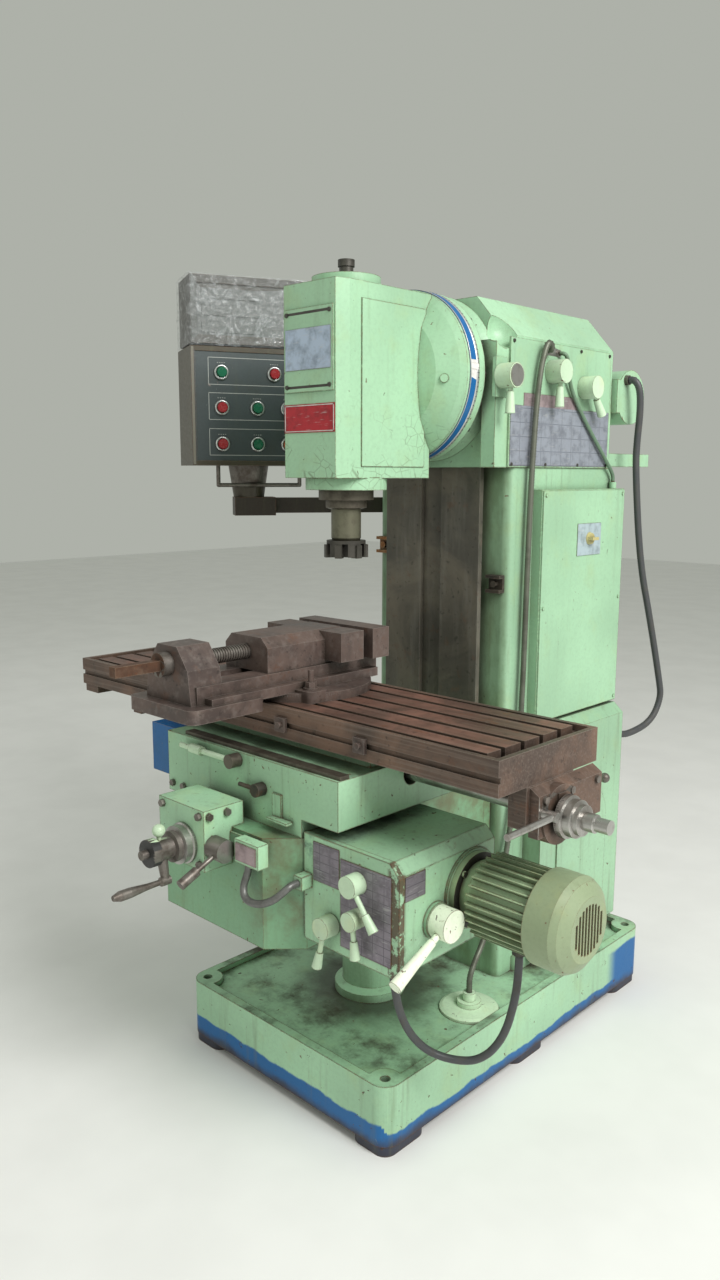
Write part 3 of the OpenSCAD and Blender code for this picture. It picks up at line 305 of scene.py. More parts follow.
def steel(name, tone=(0.36, 0.35, 0.33), dark=(0.07, 0.05, 0.035), seed=0, stain=0.5, rough=0.32, metal=0.9):
    """Turned or worn steel with oily brown stain."""
    g = Tree(name)
    at = g.mapped(shift=(seed, seed * 1.9, seed * 0.6))
    cloud = g.noise(24, 7, 0.68, at)
    fine = g.noise(260, 4, 0.65, at)
    colour = g.mix(g.times(g.step(cloud, 0.42, 0.66), stain), tone, dark)
    # Painted shade: ambient occlusion darkens corners and gaps.
    colour = g.mix(g.times(g.hollow_shade(0.02), 0.75), colour, shade(dark, 0.6))
    colour = g.mix(g.times(g.edges(0.0015), 0.5), colour, shade(tone, 1.5))
    gloss = g.plus(g.times(cloud, 0.4), rough - 0.14)
    return g.finish(colour, gloss, metal, fine, 0.0003)


def plastic(name, tone, rough=0.25, seed=0, dust=0.35, clear=0.3):
    g = Tree(name)
    at = g.mapped(shift=(seed, seed, seed))
    film = g.step(g.noise(90, 6, 0.65, at), 0.45, 0.72)
    colour = g.mix(g.times(film, dust), tone, tuple(0.5 * c + 0.09 for c in tone))
    # Painted shade: ambient occlusion darkens corners and gaps.
    colour = g.mix(g.times(g.hollow_shade(0.012), 0.7), colour, shade(GRIME_AND_SHADE, 0.6))
    gloss = g.plus(g.times(film, 0.3), rough)
    return g.finish(colour, gloss, 0.0, g.noise(200, 3), 0.0002, Coat_Weight=clear)


def rubber(name, tone=(0.028, 0.029, 0.031), seed=0):
    g = Tree(name)
    at = g.mapped(shift=(seed, seed, seed))
    dust = g.step(g.noise(40, 6, 0.65, at), 0.42, 0.7)
    colour = g.mix(g.times(dust, 0.4), tone, (0.10, 0.09, 0.07))
    # Painted shade: ambient occlusion darkens creases and gaps.
    colour = g.mix(g.hollow_shade(0.004), colour, shade(tone, 0.3))
    return g.finish(colour, g.plus(0.42, g.times(dust, 0.35)), 0.0, g.noise(300, 3), 0.0003)


def plate(name, tone, lines=None, seed=0, metal=0.55, rough=0.36, worn=0.5, axes=(1, 2)):
    """Sheet-metal plate: a generic grid of fine rules, scratches and blotchy wear."""
    g = Tree(name)
    at = g.mapped(shift=(seed, seed * 2, seed))
    blotch = g.noise(34, 6, 0.66, at)
    colour = g.mix(g.step(blotch, 0.4, 0.7), tone, shade(tone, 0.62))
    if lines:
        rules = 0.0
        for axis, pitch in zip(axes, lines):
            wave = g.math("PINGPONG", g.axis(axis), pitch * MM)
            rules = g.math("MAXIMUM", rules, g.step(wave, 0.0009, 0.0003))
        colour = g.mix(g.times(g.times(rules, 0.75), g.step(blotch, 0.66, 0.4)), colour, (0.03, 0.035, 0.05))
    scratch = g.noise(1, 3, 0.5, g.mapped((30, 30, 240), (seed, 0, 0), 0.5))
    colour = g.mix(g.times(g.step(scratch, 0.6, 0.72), 0.4), colour, (0.55, 0.55, 0.54))
    rim = g.plus(g.edges(0.004), g.times(g.noise(70, 7, 0.7, at), 0.8))
    colour = g.mix(g.times(g.step(rim, 0.85, 1.0), worn), colour, (0.14, 0.07, 0.035))
    return g.finish(colour, g.plus(rough, g.times(blotch, 0.25)), metal, blotch, 0.0003)


# ---------------------------------------------------------------- pieces


def link(name, verts, faces, body, material, smooth=False):
    mesh = bpy.data.meshes.new(name)
    mesh.from_pydata([tuple(v) for v in verts], [], faces)
    mesh.materials.append(material)
    for p in mesh.polygons:
        p.use_smooth = smooth
    piece = bpy.data.objects.new(name, mesh)
    bpy.context.scene.collection.objects.link(piece)
    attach(piece, body)
    return piece


class Shape:
    """Collects boxes and turned rings into one mesh, each through a placing matrix, in millimetres."""

    def __init__(self):
        self.verts, self.faces = [], []

    def box(self, low, high, place=Matrix.Identity(4), bevel=0.0):
        bm = bmesh.new()
        bmesh.ops.create_cube(bm, size=1)
        size = [b - a for a, b in zip(low, high)]
        middle = [(a + b) / 2 for a, b in zip(low, high)]
        for v in bm.verts:
            v.co = Vector(c * s + m for c, s, m in zip(v.co, size, middle))
        if bevel:
            bmesh.ops.bevel(bm, geom=bm.edges[:], offset=bevel, segments=2, affect="EDGES")
        self.take(bm, place)

    def turned(self, profile, place=Matrix.Identity(4), sides=36, closed=False):
        """Revolves (radius, height) pairs about the local Z axis."""
        start = len(self.verts)
        n = len(profile)
        for k in range(sides):
            a = math.tau * k / sides
            for r, z in profile:
                self.verts.append(place @ Vector((r * math.cos(a) * MM, r * math.sin(a) * MM, z * MM)))
        for k in range(sides):
            for i in range(n if closed else n - 1):
                j = (i + 1) % n
                a, b = start + k * n, start + (k + 1) % sides * n
                self.faces.append((a + i, b + i, b + j, a + j))

    def take(self, bm, place):
        start = len(self.verts)
        bm.verts.ensure_lookup_table()
        self.verts += [place @ (v.co * MM) for v in bm.verts]
        self.faces += [tuple(start + v.index for v in f.verts) for f in bm.faces]
        bm.free()

    def piece(self, name, body, material, smooth=False):
        return link(name, self.verts, self.faces, body, material, smooth)


def at(x, y, z, turn=0.0, tilt=None):
    """Placing matrix in millimetres: local Z along tilt."""
    place = Matrix.Translation(Vector((x, y, z)) * MM)
    if tilt is not None:
        place = place @ Vector(tilt).to_track_quat("Z", "Y").to_matrix().to_4x4()
    return place @ Matrix.Rotation(turn, 4, "Z")


# Cords ------------------------------------------------------------------------
ROUTES = {
    "column_conduit": [(SIDE + 12, 150, 1775), (SIDE + 22, 150, 1775), (SIDE + 26, 142, 1788),
                       (SIDE + 26, 120, 1790), (SIDE + 20, 98, 1700), (SIDE + 18, 84, 1480),
                       (SIDE + 18, 78, 1200), (SIDE + 18, 74, 900), (SIDE + 18, 60, 700),
                       (SIDE + 18, 20, 480), (SIDE + 24, -60, 320), (255, -145, 250), (255, -145, 200)],
    "rear_conduit": [(246, 525, 1728), (262, 525, 1728), (276, 530, 1704), (274, 540, 1640), (264, 548, 1560),
                     (262, 552, 1487), (268, 590, 1232), (275, 660, 1050), (280, 724, 868), (280, 742, 810),
                     (272, 700, 742), (255, 600, 720), (245, 560, 726), (245, 527, 726)],
    "cabinet_cable": [(SIDE + 8, 205, 1772), (SIDE + 20, 205, 1772), (SIDE + 26, 212, 1766),
                      (SIDE + 24, 225, 1740), (SIDE + 14, 250, 1690), (SIDE + 13, 330, 1610),
                      (SIDE + 16, 440, 1510), (SIDE + 12, 487, 1474), (SIDE + 12, 487, 1454)],
    "feed_hose": [(370, -560, 503), (370, -560, 440), (378, -540, 340), (402, -500, 270),
                  (450, -460, 246), (505, -430, 256), (550, -414, 320), (575, -412, 420), (580, -412, 490),
                  (580, -412, 518)],
    "switch_hose": [(98, -716, 664), (98, -716, 645), (90, -726, 610), (106, -734, 588),
                    (146, -732, 588), (184, -722, 606), (203, -700, 632), (203, -690, 635), (203, -672, 635)],
}


def rounded_route(points, times):
    points = [Vector(p) for p in points]
    for _ in range(times):
        cut = [points[0]]
        for a, b in zip(points, points[1:]):
            cut += [a.lerp(b, 0.25), a.lerp(b, 0.75)]
        points = cut + [points[-1]]
    return points


def spaced(points, step):
    """Points a step apart along a line."""
    lengths = [(b - a).length for a, b in zip(points, points[1:])]
    count = max(2, round(sum(lengths) / step))
    want, out, run, i = sum(lengths) / count, [points[0]], 0.0, 0
    for k in range(1, count):
        goal = k * want
        while run + lengths[i] < goal:
            run += lengths[i]
            i += 1
        out.append(points[i].lerp(points[i + 1], (goal - run) / lengths[i]))
    return out + [points[-1]]


def make_cord(node, body, diameter, material, ridge=0.0, pitch=5.0, sides=14):
    """A tube along the node's route, plain or corrugated."""
    line = spaced(rounded_route(ROUTES[node], 3), pitch / 2 if ridge else diameter * 0.5)
    verts, faces, side = [], [], None
    for i, p in enumerate(line):
        d = (line[min(i + 1, len(line) - 1)] - line[max(i - 1, 0)]).normalized()
        side = d.orthogonal().normalized() if side is None else (side - d * side.dot(d)).normalized()
        other = d.cross(side)
        r = diameter / 2 - (ridge if ridge and i % 2 else 0)
        for k in range(sides):
            a = math.tau * k / sides
            verts.append((p + (side * math.cos(a) + other * math.sin(a)) * r) * MM)
    for i in range(len(line) - 1):
        for k in range(sides):
            a, b = i * sides + k, i * sides + (k + 1) % sides
            faces.append((a, b, b + sides, a + sides))
    faces.append(tuple(range(sides))[::-1])
    faces.append(tuple((len(line) - 1) * sides + k for k in range(sides)))
    piece = link(node + "_cord", verts, faces, body, material, smooth=True)
    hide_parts(node)
    return piece


conduit = steel("conduit_steel_look", (0.13, 0.14, 0.11), (0.04, 0.035, 0.025), 3, 0.8, 0.45, 0.5)
grey_hose = rubber("grey_hose_look", (0.06, 0.063, 0.068), 2)
switch_conduit = steel("switch_conduit_look", (0.17, 0.17, 0.165), (0.04, 0.035, 0.03), 5, 0.55, 0.4, 0.6)
mint_cable = paint("mint_cable_look", shade(MINT, 0.42), 8, 0.5, 0.7, 0.3, 1.0, 0.45)
make_cord("column_conduit", "frame", 16, conduit, 1.6, 7)
make_cord("rear_conduit", "frame", 20, grey_hose, 1.2, 7)
make_cord("cabinet_cable", "frame", 10, mint_cable)
make_cord("feed_hose", "knee", 17, grey_hose)
make_cord("switch_hose", "knee", 17, switch_conduit, 1.0, 5)


def look(node, material):
    nodes[node].data.materials.clear()
    nodes[node].data.materials.append(material)
    for p in nodes[node].data.polygons:
        p.use_smooth = False


def part_look(node, material, low, high, facing=None, whole=False):
    """Faces of a node inside a box, in millimetres, take another material; by their middle, or whole."""
    mesh = nodes[node].data
    mesh.materials.append(material)
    index = len(mesh.materials) - 1
    low, high = Vector(low) * MM, Vector(high) * MM
    for p in mesh.polygons:
        spots = [mesh.vertices[v].co for v in p.vertices] if whole else [p.center]
        if all(low[i] <= c[i] <= high[i] for c in spots for i in range(3)):
            if facing is None or p.normal.dot(Vector(facing)) > 0.8:
                p.material_index = index


def base_bands(g, colour):
    """Blue lower band with a wavy upper edge, oily dirt round the screw tube and rust at the foot."""
    wave = g.times(g.math("SUBTRACT", g.noise(9, 5, 0.6), 0.5), 0.035)
    height = g.plus(g.axis(2), wave)
    right = g.step(g.facing(0), 0.5, 0.8)
    band = g.step(g.plus(height, g.times(right, 0.022)), 0.078, 0.072)
    colour = g.mix(band, colour, BLUE)
    away = g.math("SQRT", g.plus(g.math("POWER", g.axis(0), 2), g.math("POWER", g.plus(g.axis(1), 0.235), 2)))
    ragged = g.plus(away, g.times(g.noise(12, 6, 0.65), 0.12))
    near = g.times(g.step(ragged, 0.30, 0.18), g.step(g.facing(2), 0.6, 0.9))
    colour = g.mix(g.times(near, 0.85), colour, (0.030, 0.028, 0.020))
    back = g.times(g.step(g.axis(1), 0.36, 0.42), g.step(height, 0.150, 0.140))
    colour = g.mix(back, colour, BLUE)
    foot = g.step(g.plus(g.axis(2), g.times(wave, 1.6)), 0.05, 0.022)
    return g.mix(g.times(foot, 0.85), colour, (0.035, 0.02, 0.014))


def column_front_shade(g, colour):
    """Painted shade: the column's front and sides of the ways are darker and more olive than its flanks,
    unevenly.
    """
    front = g.step(g.times(g.facing(1), -1.0), 0.45, 0.9)
    # Painted shade on front-facing faces, its strength varied by noise.
    stain = g.plus(0.35, g.times(g.step(g.noise(6, 6, 0.65, g.mapped((3, 3, 1))), 0.4, 0.65), 0.3))
    return g.mix(g.times(front, stain), colour, (0.085, 0.12, 0.05))


def head_cracks(g, colour):
    """Crazed, flaking patch low on the head's side."""
    crack = g.step(g.cells(30, g.mapped((1, 1, 1.3)), "DISTANCE_TO_EDGE"), 0.035, 0.008)
    where = g.step(g.plus(g.axis(2), g.times(g.noise(8, 5), 0.12)), 1.72, 1.60)
    lower = g.times(g.times(crack, where), g.step(g.noise(14, 4), 0.46, 0.58))
    return g.mix(g.times(lower, 0.5), colour, (0.10, 0.10, 0.05))


def knee_oil(g, colour):
    """Brown oily wash near the gearbox and below the saddle."""
    wet = g.times(g.step(g.axis(0), 0.02, 0.17), g.step(g.noise(9, 6, 0.65), 0.40, 0.66))
    return g.mix(g.times(wet, 0.75), colour, (0.13, 0.10, 0.045))


def gearbox_smudge(g, colour):
    spot = g.times(g.step(g.axis(2), 0.66, 0.72), g.step(g.axis(0), 0.32, 0.24))
    smudge = g.times(spot, g.step(g.noise(16, 6, 0.7), 0.42, 0.60))
    colour = g.mix(g.times(smudge, 0.8), colour, (0.03, 0.06, 0.07))
    corner = g.times(g.step(g.axis(0), 0.424, 0.436), g.step(g.axis(1), -0.612, -0.626))
    flaked = g.times(corner, g.step(g.noise(34, 8, 0.7), 0.44, 0.50))
    return g.mix(g.times(flaked, 0.9), colour, (0.075, 0.033, 0.016))


paint_base = paint("base_paint", shade(MINT, 1.12), 1, 0.85, 0.7, 0.35, 5, 0.42,
                   extra=base_bands, top_dirt=1.0)
paint_column = paint("column_paint", shade(MINT, 1.0), 2, 0.45, 0.7, 0.45, 3, 0.38, extra=column_front_shade)
paint_stock = paint("headstock_paint", shade(MINT, 1.04), 3, 0.5, 0.8, 0.22, 3.5, 0.36)
paint_cover = paint("cover_paint", shade(MINT, 1.06), 4, 0.3, 0.55, 0.25, 2.5, 0.36)
paint_cabinet = paint("cabinet_paint", shade(MINT, 1.06), 5, 0.28, 0.5, 0.16, 2.5, 0.34)
paint_head = paint("head_paint", shade(MINT, 1.0), 6, 0.5, 0.6, 0.2, 3.5, 0.36, extra=head_cracks)
paint_cap = paint("cap_paint", shade(MINT, 0.86), 7, 0.4, 0.8, 0.2, 3, 0.42)
paint_knee = paint("knee_paint", (0.19, 0.37, 0.215), 9, 0.7, 0.85, 0.45, 4, 0.36, extra=knee_oil)
paint_crank = paint("crank_box_paint", shade(MINT, 1.2), 10, 1.1, 0.65, 0.35, 4, 0.4)
paint_gear = paint("gearbox_paint", shade(MINT, 1.08), 11, 1.3, 0.8, 0.45, 6, 0.4, extra=gearbox_smudge)
paint_motor = paint("motor_paint", (0.37, 0.51, 0.31), 12, 0.5, 0.65, 0.4, 3, 0.42)
paint_saddle = paint("saddle_paint", shade(MINT, 1.08), 13, 1.1, 0.85, 0.45, 4, 0.4, top_dirt=0.7)
paint_lever = paint("lever_paint", (0.58, 0.76, 0.54), 14, 0.9, 0.55, 0.1, 2, 0.36, chip_size=90)
paint_white = paint("worn_lever_paint", (0.80, 0.88, 0.70), 15, 1.35, 0.35, 0.1, 3, 0.4, chip_size=70)
cream = paint("fan_cover_paint", (0.32, 0.40, 0.24), 16, 0.8, 0.8, 0.3, 3, 0.45, under=(0.12, 0.05, 0.02))
blue = paint("blue_look", BLUE, 17, 0.7, 0.7, 0.3, 2.5, 0.38, under=(0.25, 0.26, 0.27))
table_iron = iron("table_iron", (0.085, 0.058, 0.046), (0.20, 0.12, 0.085), (0.27, 0.22, 0.19),
                  (4, 220, 220), 1)
slot_iron = iron("slot_land_iron", (0.10, 0.055, 0.042), (0.24, 0.115, 0.085), (0.34, 0.24, 0.20),
                 (3, 260, 60), 2, 0.5, 0.55)
vise_iron = iron("vise_iron", (0.070, 0.052, 0.048), (0.15, 0.105, 0.09), (0.26, 0.22, 0.20),
                 (60, 60, 60), 3, 0.42)
ways_iron = iron("ways_iron", (0.085, 0.080, 0.066), (0.17, 0.15, 0.115), (0.24, 0.23, 0.20),
                 (36, 36, 5), 4, 0.42, 0.25)
bracket_iron = iron("bracket_iron", (0.030, 0.026, 0.022), (0.07, 0.055, 0.04), (0.16, 0.13, 0.10),
                    (30, 30, 30), 5, 0.55, 0.3)
rust_iron = iron("trip_iron", (0.16, 0.06, 0.025), (0.36, 0.16, 0.06), (0.60, 0.50, 0.33),
                 (40, 40, 40), 6, 0.7, 0.6)
screw_end = iron("screw_end_iron", (0.07, 0.032, 0.018), (0.16, 0.075, 0.04), (0.24, 0.17, 0.12),
                 (40, 40, 40), 11, 0.6, 0.5)
bright = steel("bright_steel_look", (0.46, 0.45, 0.43), (0.13, 0.09, 0.06), 1, 0.45, 0.28)
dull = steel("dull_steel_look", (0.22, 0.20, 0.18), (0.06, 0.04, 0.03), 2, 0.7, 0.4, 0.7)
oily = steel("oily_steel_look", (0.13, 0.115, 0.09), (0.035, 0.025, 0.02), 4, 0.6, 0.36, 0.6)
screw_dark = steel("screw_look", (0.075, 0.07, 0.06), (0.02, 0.018, 0.015), 5, 0.5, 0.42, 0.5)
insert = steel("insert_look", (0.30, 0.11, 0.07), (0.08, 0.03, 0.02), 6, 0.6, 0.4, 0.5)
black_collar = steel("black_collar_look", (0.05, 0.05, 0.05), (0.02, 0.02, 0.02), 10, 0.4, 0.35, 0.4)
brass_knob = plastic("ivory_look", (0.52, 0.46, 0.20), 0.25, 1)
silver_plate = plate("chart_plate_look", (0.40, 0.43, 0.50), (23, 17), 1)
pink_plate = plate("small_plate_look", (0.46, 0.36, 0.38), None, 2)
worn_plate = plate("gearbox_plate_look", (0.26, 0.23, 0.27), (15, 9), 3, worn=0.8, axes=(0, 2))
name_plate = plate("name_plate_look", (0.46, 0.55, 0.68), None, 4, worn=0.35)
door_plate = plate("door_plate_look", (0.42, 0.52, 0.56), None, 5, 0.1, worn=0.25)
red_plate = plate("red_plate_look", (0.42, 0.012, 0.022), None, 6, 0.0, 0.3, 0.3)
white_line = plate("white_line_look", (0.72, 0.70, 0.68), None, 7, 0.0, 0.4, 0.35)
enamel = paint("pendant_enamel", (0.055, 0.045, 0.027), 18, 0.35, 0.6, 0.3, 2, 0.36, under=(0.20, 0.17, 0.12))
arm_enamel = paint("arm_enamel", (0.040, 0.030, 0.022), 19, 0.5, 0.6, 0.2, 3, 0.5, under=(0.13, 0.08, 0.05))
slate = paint("panel_enamel", (0.050, 0.064, 0.068), 20, 0.1, 0.4, 0.12, 1.5, 0.35, under=(0.3, 0.3, 0.3))
readout_grey = paint("readout_enamel", (0.13, 0.13, 0.125), 21, 0.2, 0.5, 0.2, 2, 0.4)
window = plastic("window_look", (0.16, 0.17, 0.165), 0.18, 2)
green_cap = plastic("green_button_look", (0.010, 0.13, 0.065), 0.2, 3, 0.25)
red_cap = plastic("red_button_look", (0.34, 0.022, 0.030), 0.2, 4, 0.25)
orange_cap = plastic("orange_button_look", (0.42, 0.11, 0.04), 0.2, 5, 0.25)
grey_cap = plastic("selector_look", (0.34, 0.36, 0.37), 0.3, 6)
fan_black = plastic("fan_look", (0.02, 0.02, 0.02), 0.5, 7, 0.5, 0.0)

LOOKS = {
    paint_base: ["base"], paint_column: ["column", "tank_block", "screw_tube"],
    paint_stock: ["headstock", "main_motor"], paint_cover: ["headstock_cover"],
    paint_cabinet: ["cabinet", "cabinet_door"], paint_head: ["head_housing", "head_cover"],
    paint_knee: ["knee"], paint_crank: ["crank_box"], paint_gear: ["feed_gearbox"],
    paint_motor: ["feed_motor"], paint_saddle: ["saddle"], cream: ["fan_cover"],
    blue: ["graduated_ring", "saddle_cover"],
    paint_lever: ["speed_lever_front", "speed_lever_middle", "speed_lever_rear", "feed_lever_a",
                  "feed_lever_b", "feed_lever_c", "saddle_lock"],
    paint_white: ["feed_lever_long"], ways_iron: ["column_ways"], table_iron: ["table", "end_bracket"],
    vise_iron: ["vise_base", "vise_jaw"], bracket_iron: ["column_brackets", "table_lock"],
    bright: ["table_screw"], dull: ["vise_screw", "cross_lever", "cross_crank"],
    oily: ["spindle", "elevating_screw", "arbor"],
    screw_dark: ["face_mill"], fan_black: ["motor_fan"], arm_enamel: ["pendant_arm"],
    enamel: ["pendant_box"], readout_grey: ["readout_box"], grey_cap: ["selector"],
    brass_knob: ["cabinet_knob"],
    green_cap: ["button_start", "button_feed_start", "button_coolant_start"],
    red_cap: ["button_stop", "button_feed_stop", "button_coolant_stop"], orange_cap: ["button_light"],
    conduit: ["column_conduit"], grey_hose: ["rear_conduit", "feed_hose"], mint_cable: ["cabinet_cable"],
    switch_conduit: ["switch_hose"],
}
for material, names in LOOKS.items():
    for n in names:
        look(n, material)

# Plates, screws and bare metal on painted nodes, by the box that holds their faces
# Head cover: name plate, red plate and two rows of screws
part_look("head_cover", name_plate, (-80, HEAD_FRONT - 6, 1699), (80, HEAD_FRONT - 3, 1789), whole=True)
part_look("head_cover", red_plate, (-83, HEAD_FRONT - 2, 1563), (83, HEAD_FRONT + 1, 1627), whole=True)
for row in (1652, 1809):
    part_look("head_cover", screw_dark, (-80, HEAD_FRONT - 9, row), (80, HEAD_FRONT + 0.5, row + 22),
              whole=True)

# Headstock: chart plate, small plate, cable glands, cover screws, flange bolts, ring mark
part_look("headstock_cover", silver_plate, (COVER_FACE + 0.2, 5, 1493), (COVER_FACE + 2, 459, 1639))
part_look("headstock_cover", pink_plate, (COVER_FACE + 0.2, 59, 1637.5), (COVER_FACE + 2, 301, 1669))
part_look("headstock_cover", bright, (COVER_FACE - 1, 138, 1760), (COVER_FACE + 9, 220, 1790))
for y in (14, 160, 310, 452):
    for z in (1498, 1786):
        part_look("headstock_cover", screw_dark, (COVER_FACE + 0.1, y - 5, z - 5),
                  (COVER_FACE + 4, y + 5, z + 5))
part_look("headstock", screw_dark, (-206, -70.5, 1490), (206, -60, 1912))
part_look("graduated_ring", white_line, (180, -125, 1690), (206, -91, 1732))
part_look("main_motor", dull, (236.1, 511, 1714), (247, 539, 1742))
part_look("speed_lever_front", bright, (272.4, -66, 1674), (275, -14, 1726))

# Column: cabinet plate and screws, trip brackets, tank plate, cable cover on the base
part_look("cabinet_door", door_plate, (DOOR_FACE - 4, 286, 1261), (DOOR_FACE + 3, 404, 1347), (1, 0, 0))
for y in (136.5, 513):
    part_look("cabinet_door", screw_dark, (DOOR_FACE + 0.2, y - 7, 845), (DOOR_FACE + 4, y + 7, 1430))
part_look("column_brackets", rust_iron, (-212, 0, 1258), (212, 23, 1310))
part_look("tank_block", dull, (274, 380, 620), (320, 420, 660))
part_look("base", paint_lever, (180, -220, 157), (330, -70, 210))

# Crank box, its crank and the cross lever
part_look("crank_box", pink_plate, (79, -738, 670), (145, -733.9, 710))
for x, z in ((-122, 650), (-122, 757), (9, 650), (9, 757)):
    part_look("crank_box", dull, (x - 10, CRANK_FRONT - 9, z - 10), (x + 10, CRANK_FRONT - 0.2, z + 10))
part_look("crank_box", dull, (24.2, CRANK_FRONT, 745), (34, CRANK_FRONT + 75, 768))
part_look("cross_crank", bright, (-92, CRANK_FRONT - 28, 638), (2, CRANK_FRONT, 734))
part_look("cross_crank", black_collar, (-72, -875, 658), (-18, -846, 714))
part_look("cross_crank", paint_lever, (-61, -861, 709), (-29, -829, 746))
part_look("cross_lever", bright, (60, -765, 600), (110, -640, 780))

# Feed gearbox and motor: two front plates, a side plate, dark steel as painted shade in the gap behind the
# fins, gland and grille
part_look("feed_gearbox", worn_plate, (219, GEAR_FRONT - 2, 639), (297, GEAR_FRONT - 0.2, 725))
part_look("feed_gearbox", worn_plate, (299, GEAR_FRONT - 2, 519), (435, GEAR_FRONT - 0.2, 709))
part_look("feed_gearbox", worn_plate, (GEAR_SIDE - 1, -621, 654), (GEAR_SIDE + 1, -559, 707), (1, 0, 0))
# Dark steel on the faces in the gap behind the fins is painted shade.
part_look("feed_motor", screw_dark, (470, -500, 530), (481, -320, 715), (1, 0, 0))
part_look("feed_motor", screw_dark, (564, MOTOR_Y - 16, 517), (596, MOTOR_Y + 16, 544))
part_look("fan_cover", screw_dark, (646, -520, 520), (654, -300, 730), (-1, 0, 0))

# Saddle, table and vise
part_look("saddle", dull, (-280, SADDLE_FRONT - 9, 730), (-218, SADDLE_FRONT - 0.2, 750))
part_look("saddle", oily, (-230, SADDLE_FRONT + 6, 866.5), (292, SADDLE_FRONT + 36, 875))
part_look("saddle_lock", oily, (-42, -672, 830), (-4, -600, 867))
part_look("table", vise_iron, (-200, -600, 915), (320, TABLE_FRONT - 0.1, 951))
LANDS = [-560.5, -518.5, -455.5, -392.5, -329.5, -273.5]
for y0, y1 in zip(LANDS, LANDS[1:]):
    part_look("table", slot_iron, (-723, y0 - 1, 970.5), (597, y1 + 1, 971.5), (0, 0, 1))
part_look("end_bracket", bright, (662, -622, 840), (696, -455, 866))
part_look("end_bracket", dull, (663, -480, 868), (670, -270, 884))
part_look("vise_screw", screw_end, (-90, -926, 1060), (-50, -811, 1100))

# Spindle, arbor and the cutter's inserts
part_look("spindle", bright, (-66, SPINDLE_Y - 67, 1436.2), (66, SPINDLE_Y + 65, 1440))
part_look("spindle", screw_dark, (-32, SPINDLE_Y - 35, 1908), (32, SPINDLE_Y + 35, 1950))
arbor_steel = steel("arbor_look", (0.17, 0.165, 0.115), (0.05, 0.04, 0.03), 9, 0.5, 0.35, 0.6)
part_look("arbor", arbor_steel, (-36, SPINDLE_Y - 37, 1319), (36, SPINDLE_Y + 37, 1393))
CUTTER_BLADES, BLADE_CIRCLE, BLADE_REACH = 6, 53, 16
for k in range(CUTTER_BLADES):
    a = math.tau * k / CUTTER_BLADES
    x, y = BLADE_CIRCLE * math.cos(a), SPINDLE_Y + BLADE_CIRCLE * math.sin(a)
    part_look("face_mill", insert, (x - BLADE_REACH, y - BLADE_REACH, 1278),
              (x + BLADE_REACH, y + BLADE_REACH, 1286), (0, 0, -1))
part_look("readout_box", window, (-640, -430, 1830), (-350, 0, 1950), PANEL_WAY)

# Graduations ------------------------------------------------------------------


def marks(name, body, centre, axis, radius, count, size, every, material, start=0.0):
    """Raised strokes round a dial: size is width, height and length along the axis; longer at every few."""
    s = Shape()
    for k in range(count):
        a = math.tau * k / count + start
        long = size[2] * (1.0 if k % every == 0 else 0.6)
        place = at(*centre, tilt=axis) @ Matrix.Rotation(a, 4, "Z")
        s.box((radius - size[1], -size[0] / 2, 0), (radius + size[1] * 0.3, size[0] / 2, long), place)
    return s.piece(name, body, material)


ring_silver = steel("ring_silver_look", (0.50, 0.51, 0.50), (0.16, 0.17, 0.17), 7, 0.4, 0.34, 0.6)
ink = plastic("ink_look", (0.03, 0.03, 0.035), 0.4, 9)
ring_marks = marks("ring_marks", "head", (0, -92.6, SWIVEL_Z), (0, -1, 0), 204.0, 120, (1.3, 0.6, 8), 10, ink)
rim = Shape()
for y, width in ((-102.2, 9.8), (-124, 2.4)):
    profile = [(203.0, 0), (203.8, 0.2), (203.8, width), (203.0, width + 0.2)]
    rim.turned(profile, at(0, y, SWIVEL_Z, tilt=(0, 1, 0)), 120)
rim.piece("ring_rims", "head", ring_silver, True)
cross_marks = marks("cross_dial_marks", "cross_crank", (CRANK_X, CRANK_FRONT - 2, CRANK_Z), (0, -1, 0),
                    45.1, 50, (0.7, 0.5, 4), 5, ink)
table_marks = marks("table_dial_marks", "table_screw", (678, SCREW_Y, SCREW_Z), (1, 0, 0), 42.1, 60,
                    (0.7, 0.5, 8), 5, ink)
vise_marks = marks("vise_swivel_marks", "table", (-70, -411, 983), (0, 0, 1), 170.1, 180,
                   (0.9, 0.5, 8), 10, dull)

# Pendant: rows outlined on the panel, button collars, rims ------------------------
TURN = math.radians(65)
PENDANT = at(-505, -200, 0, TURN)
FRONT = -165 / 2
PANEL_Z, PANEL_W = 1495, 342
part_look("pendant_box", slate, (-700, -420, 1508), (-300, 60, 1788), PANEL_WAY)
lines = Shape()


def outline(x0, x1, z0, z1, thick=1.5):
    y0, y1 = FRONT + 2.5, FRONT + 3.2
    lines.box((x0, y0, z0), (x1, y1, z0 + thick), PENDANT)
    lines.box((x0, y0, z1 - thick), (x1, y1, z1), PENDANT)
    lines.box((x0, y0, z0), (x0 + thick, y1, z1), PENDANT)
    lines.box((x1 - thick, y0, z0), (x1, y1, z1), PENDANT)


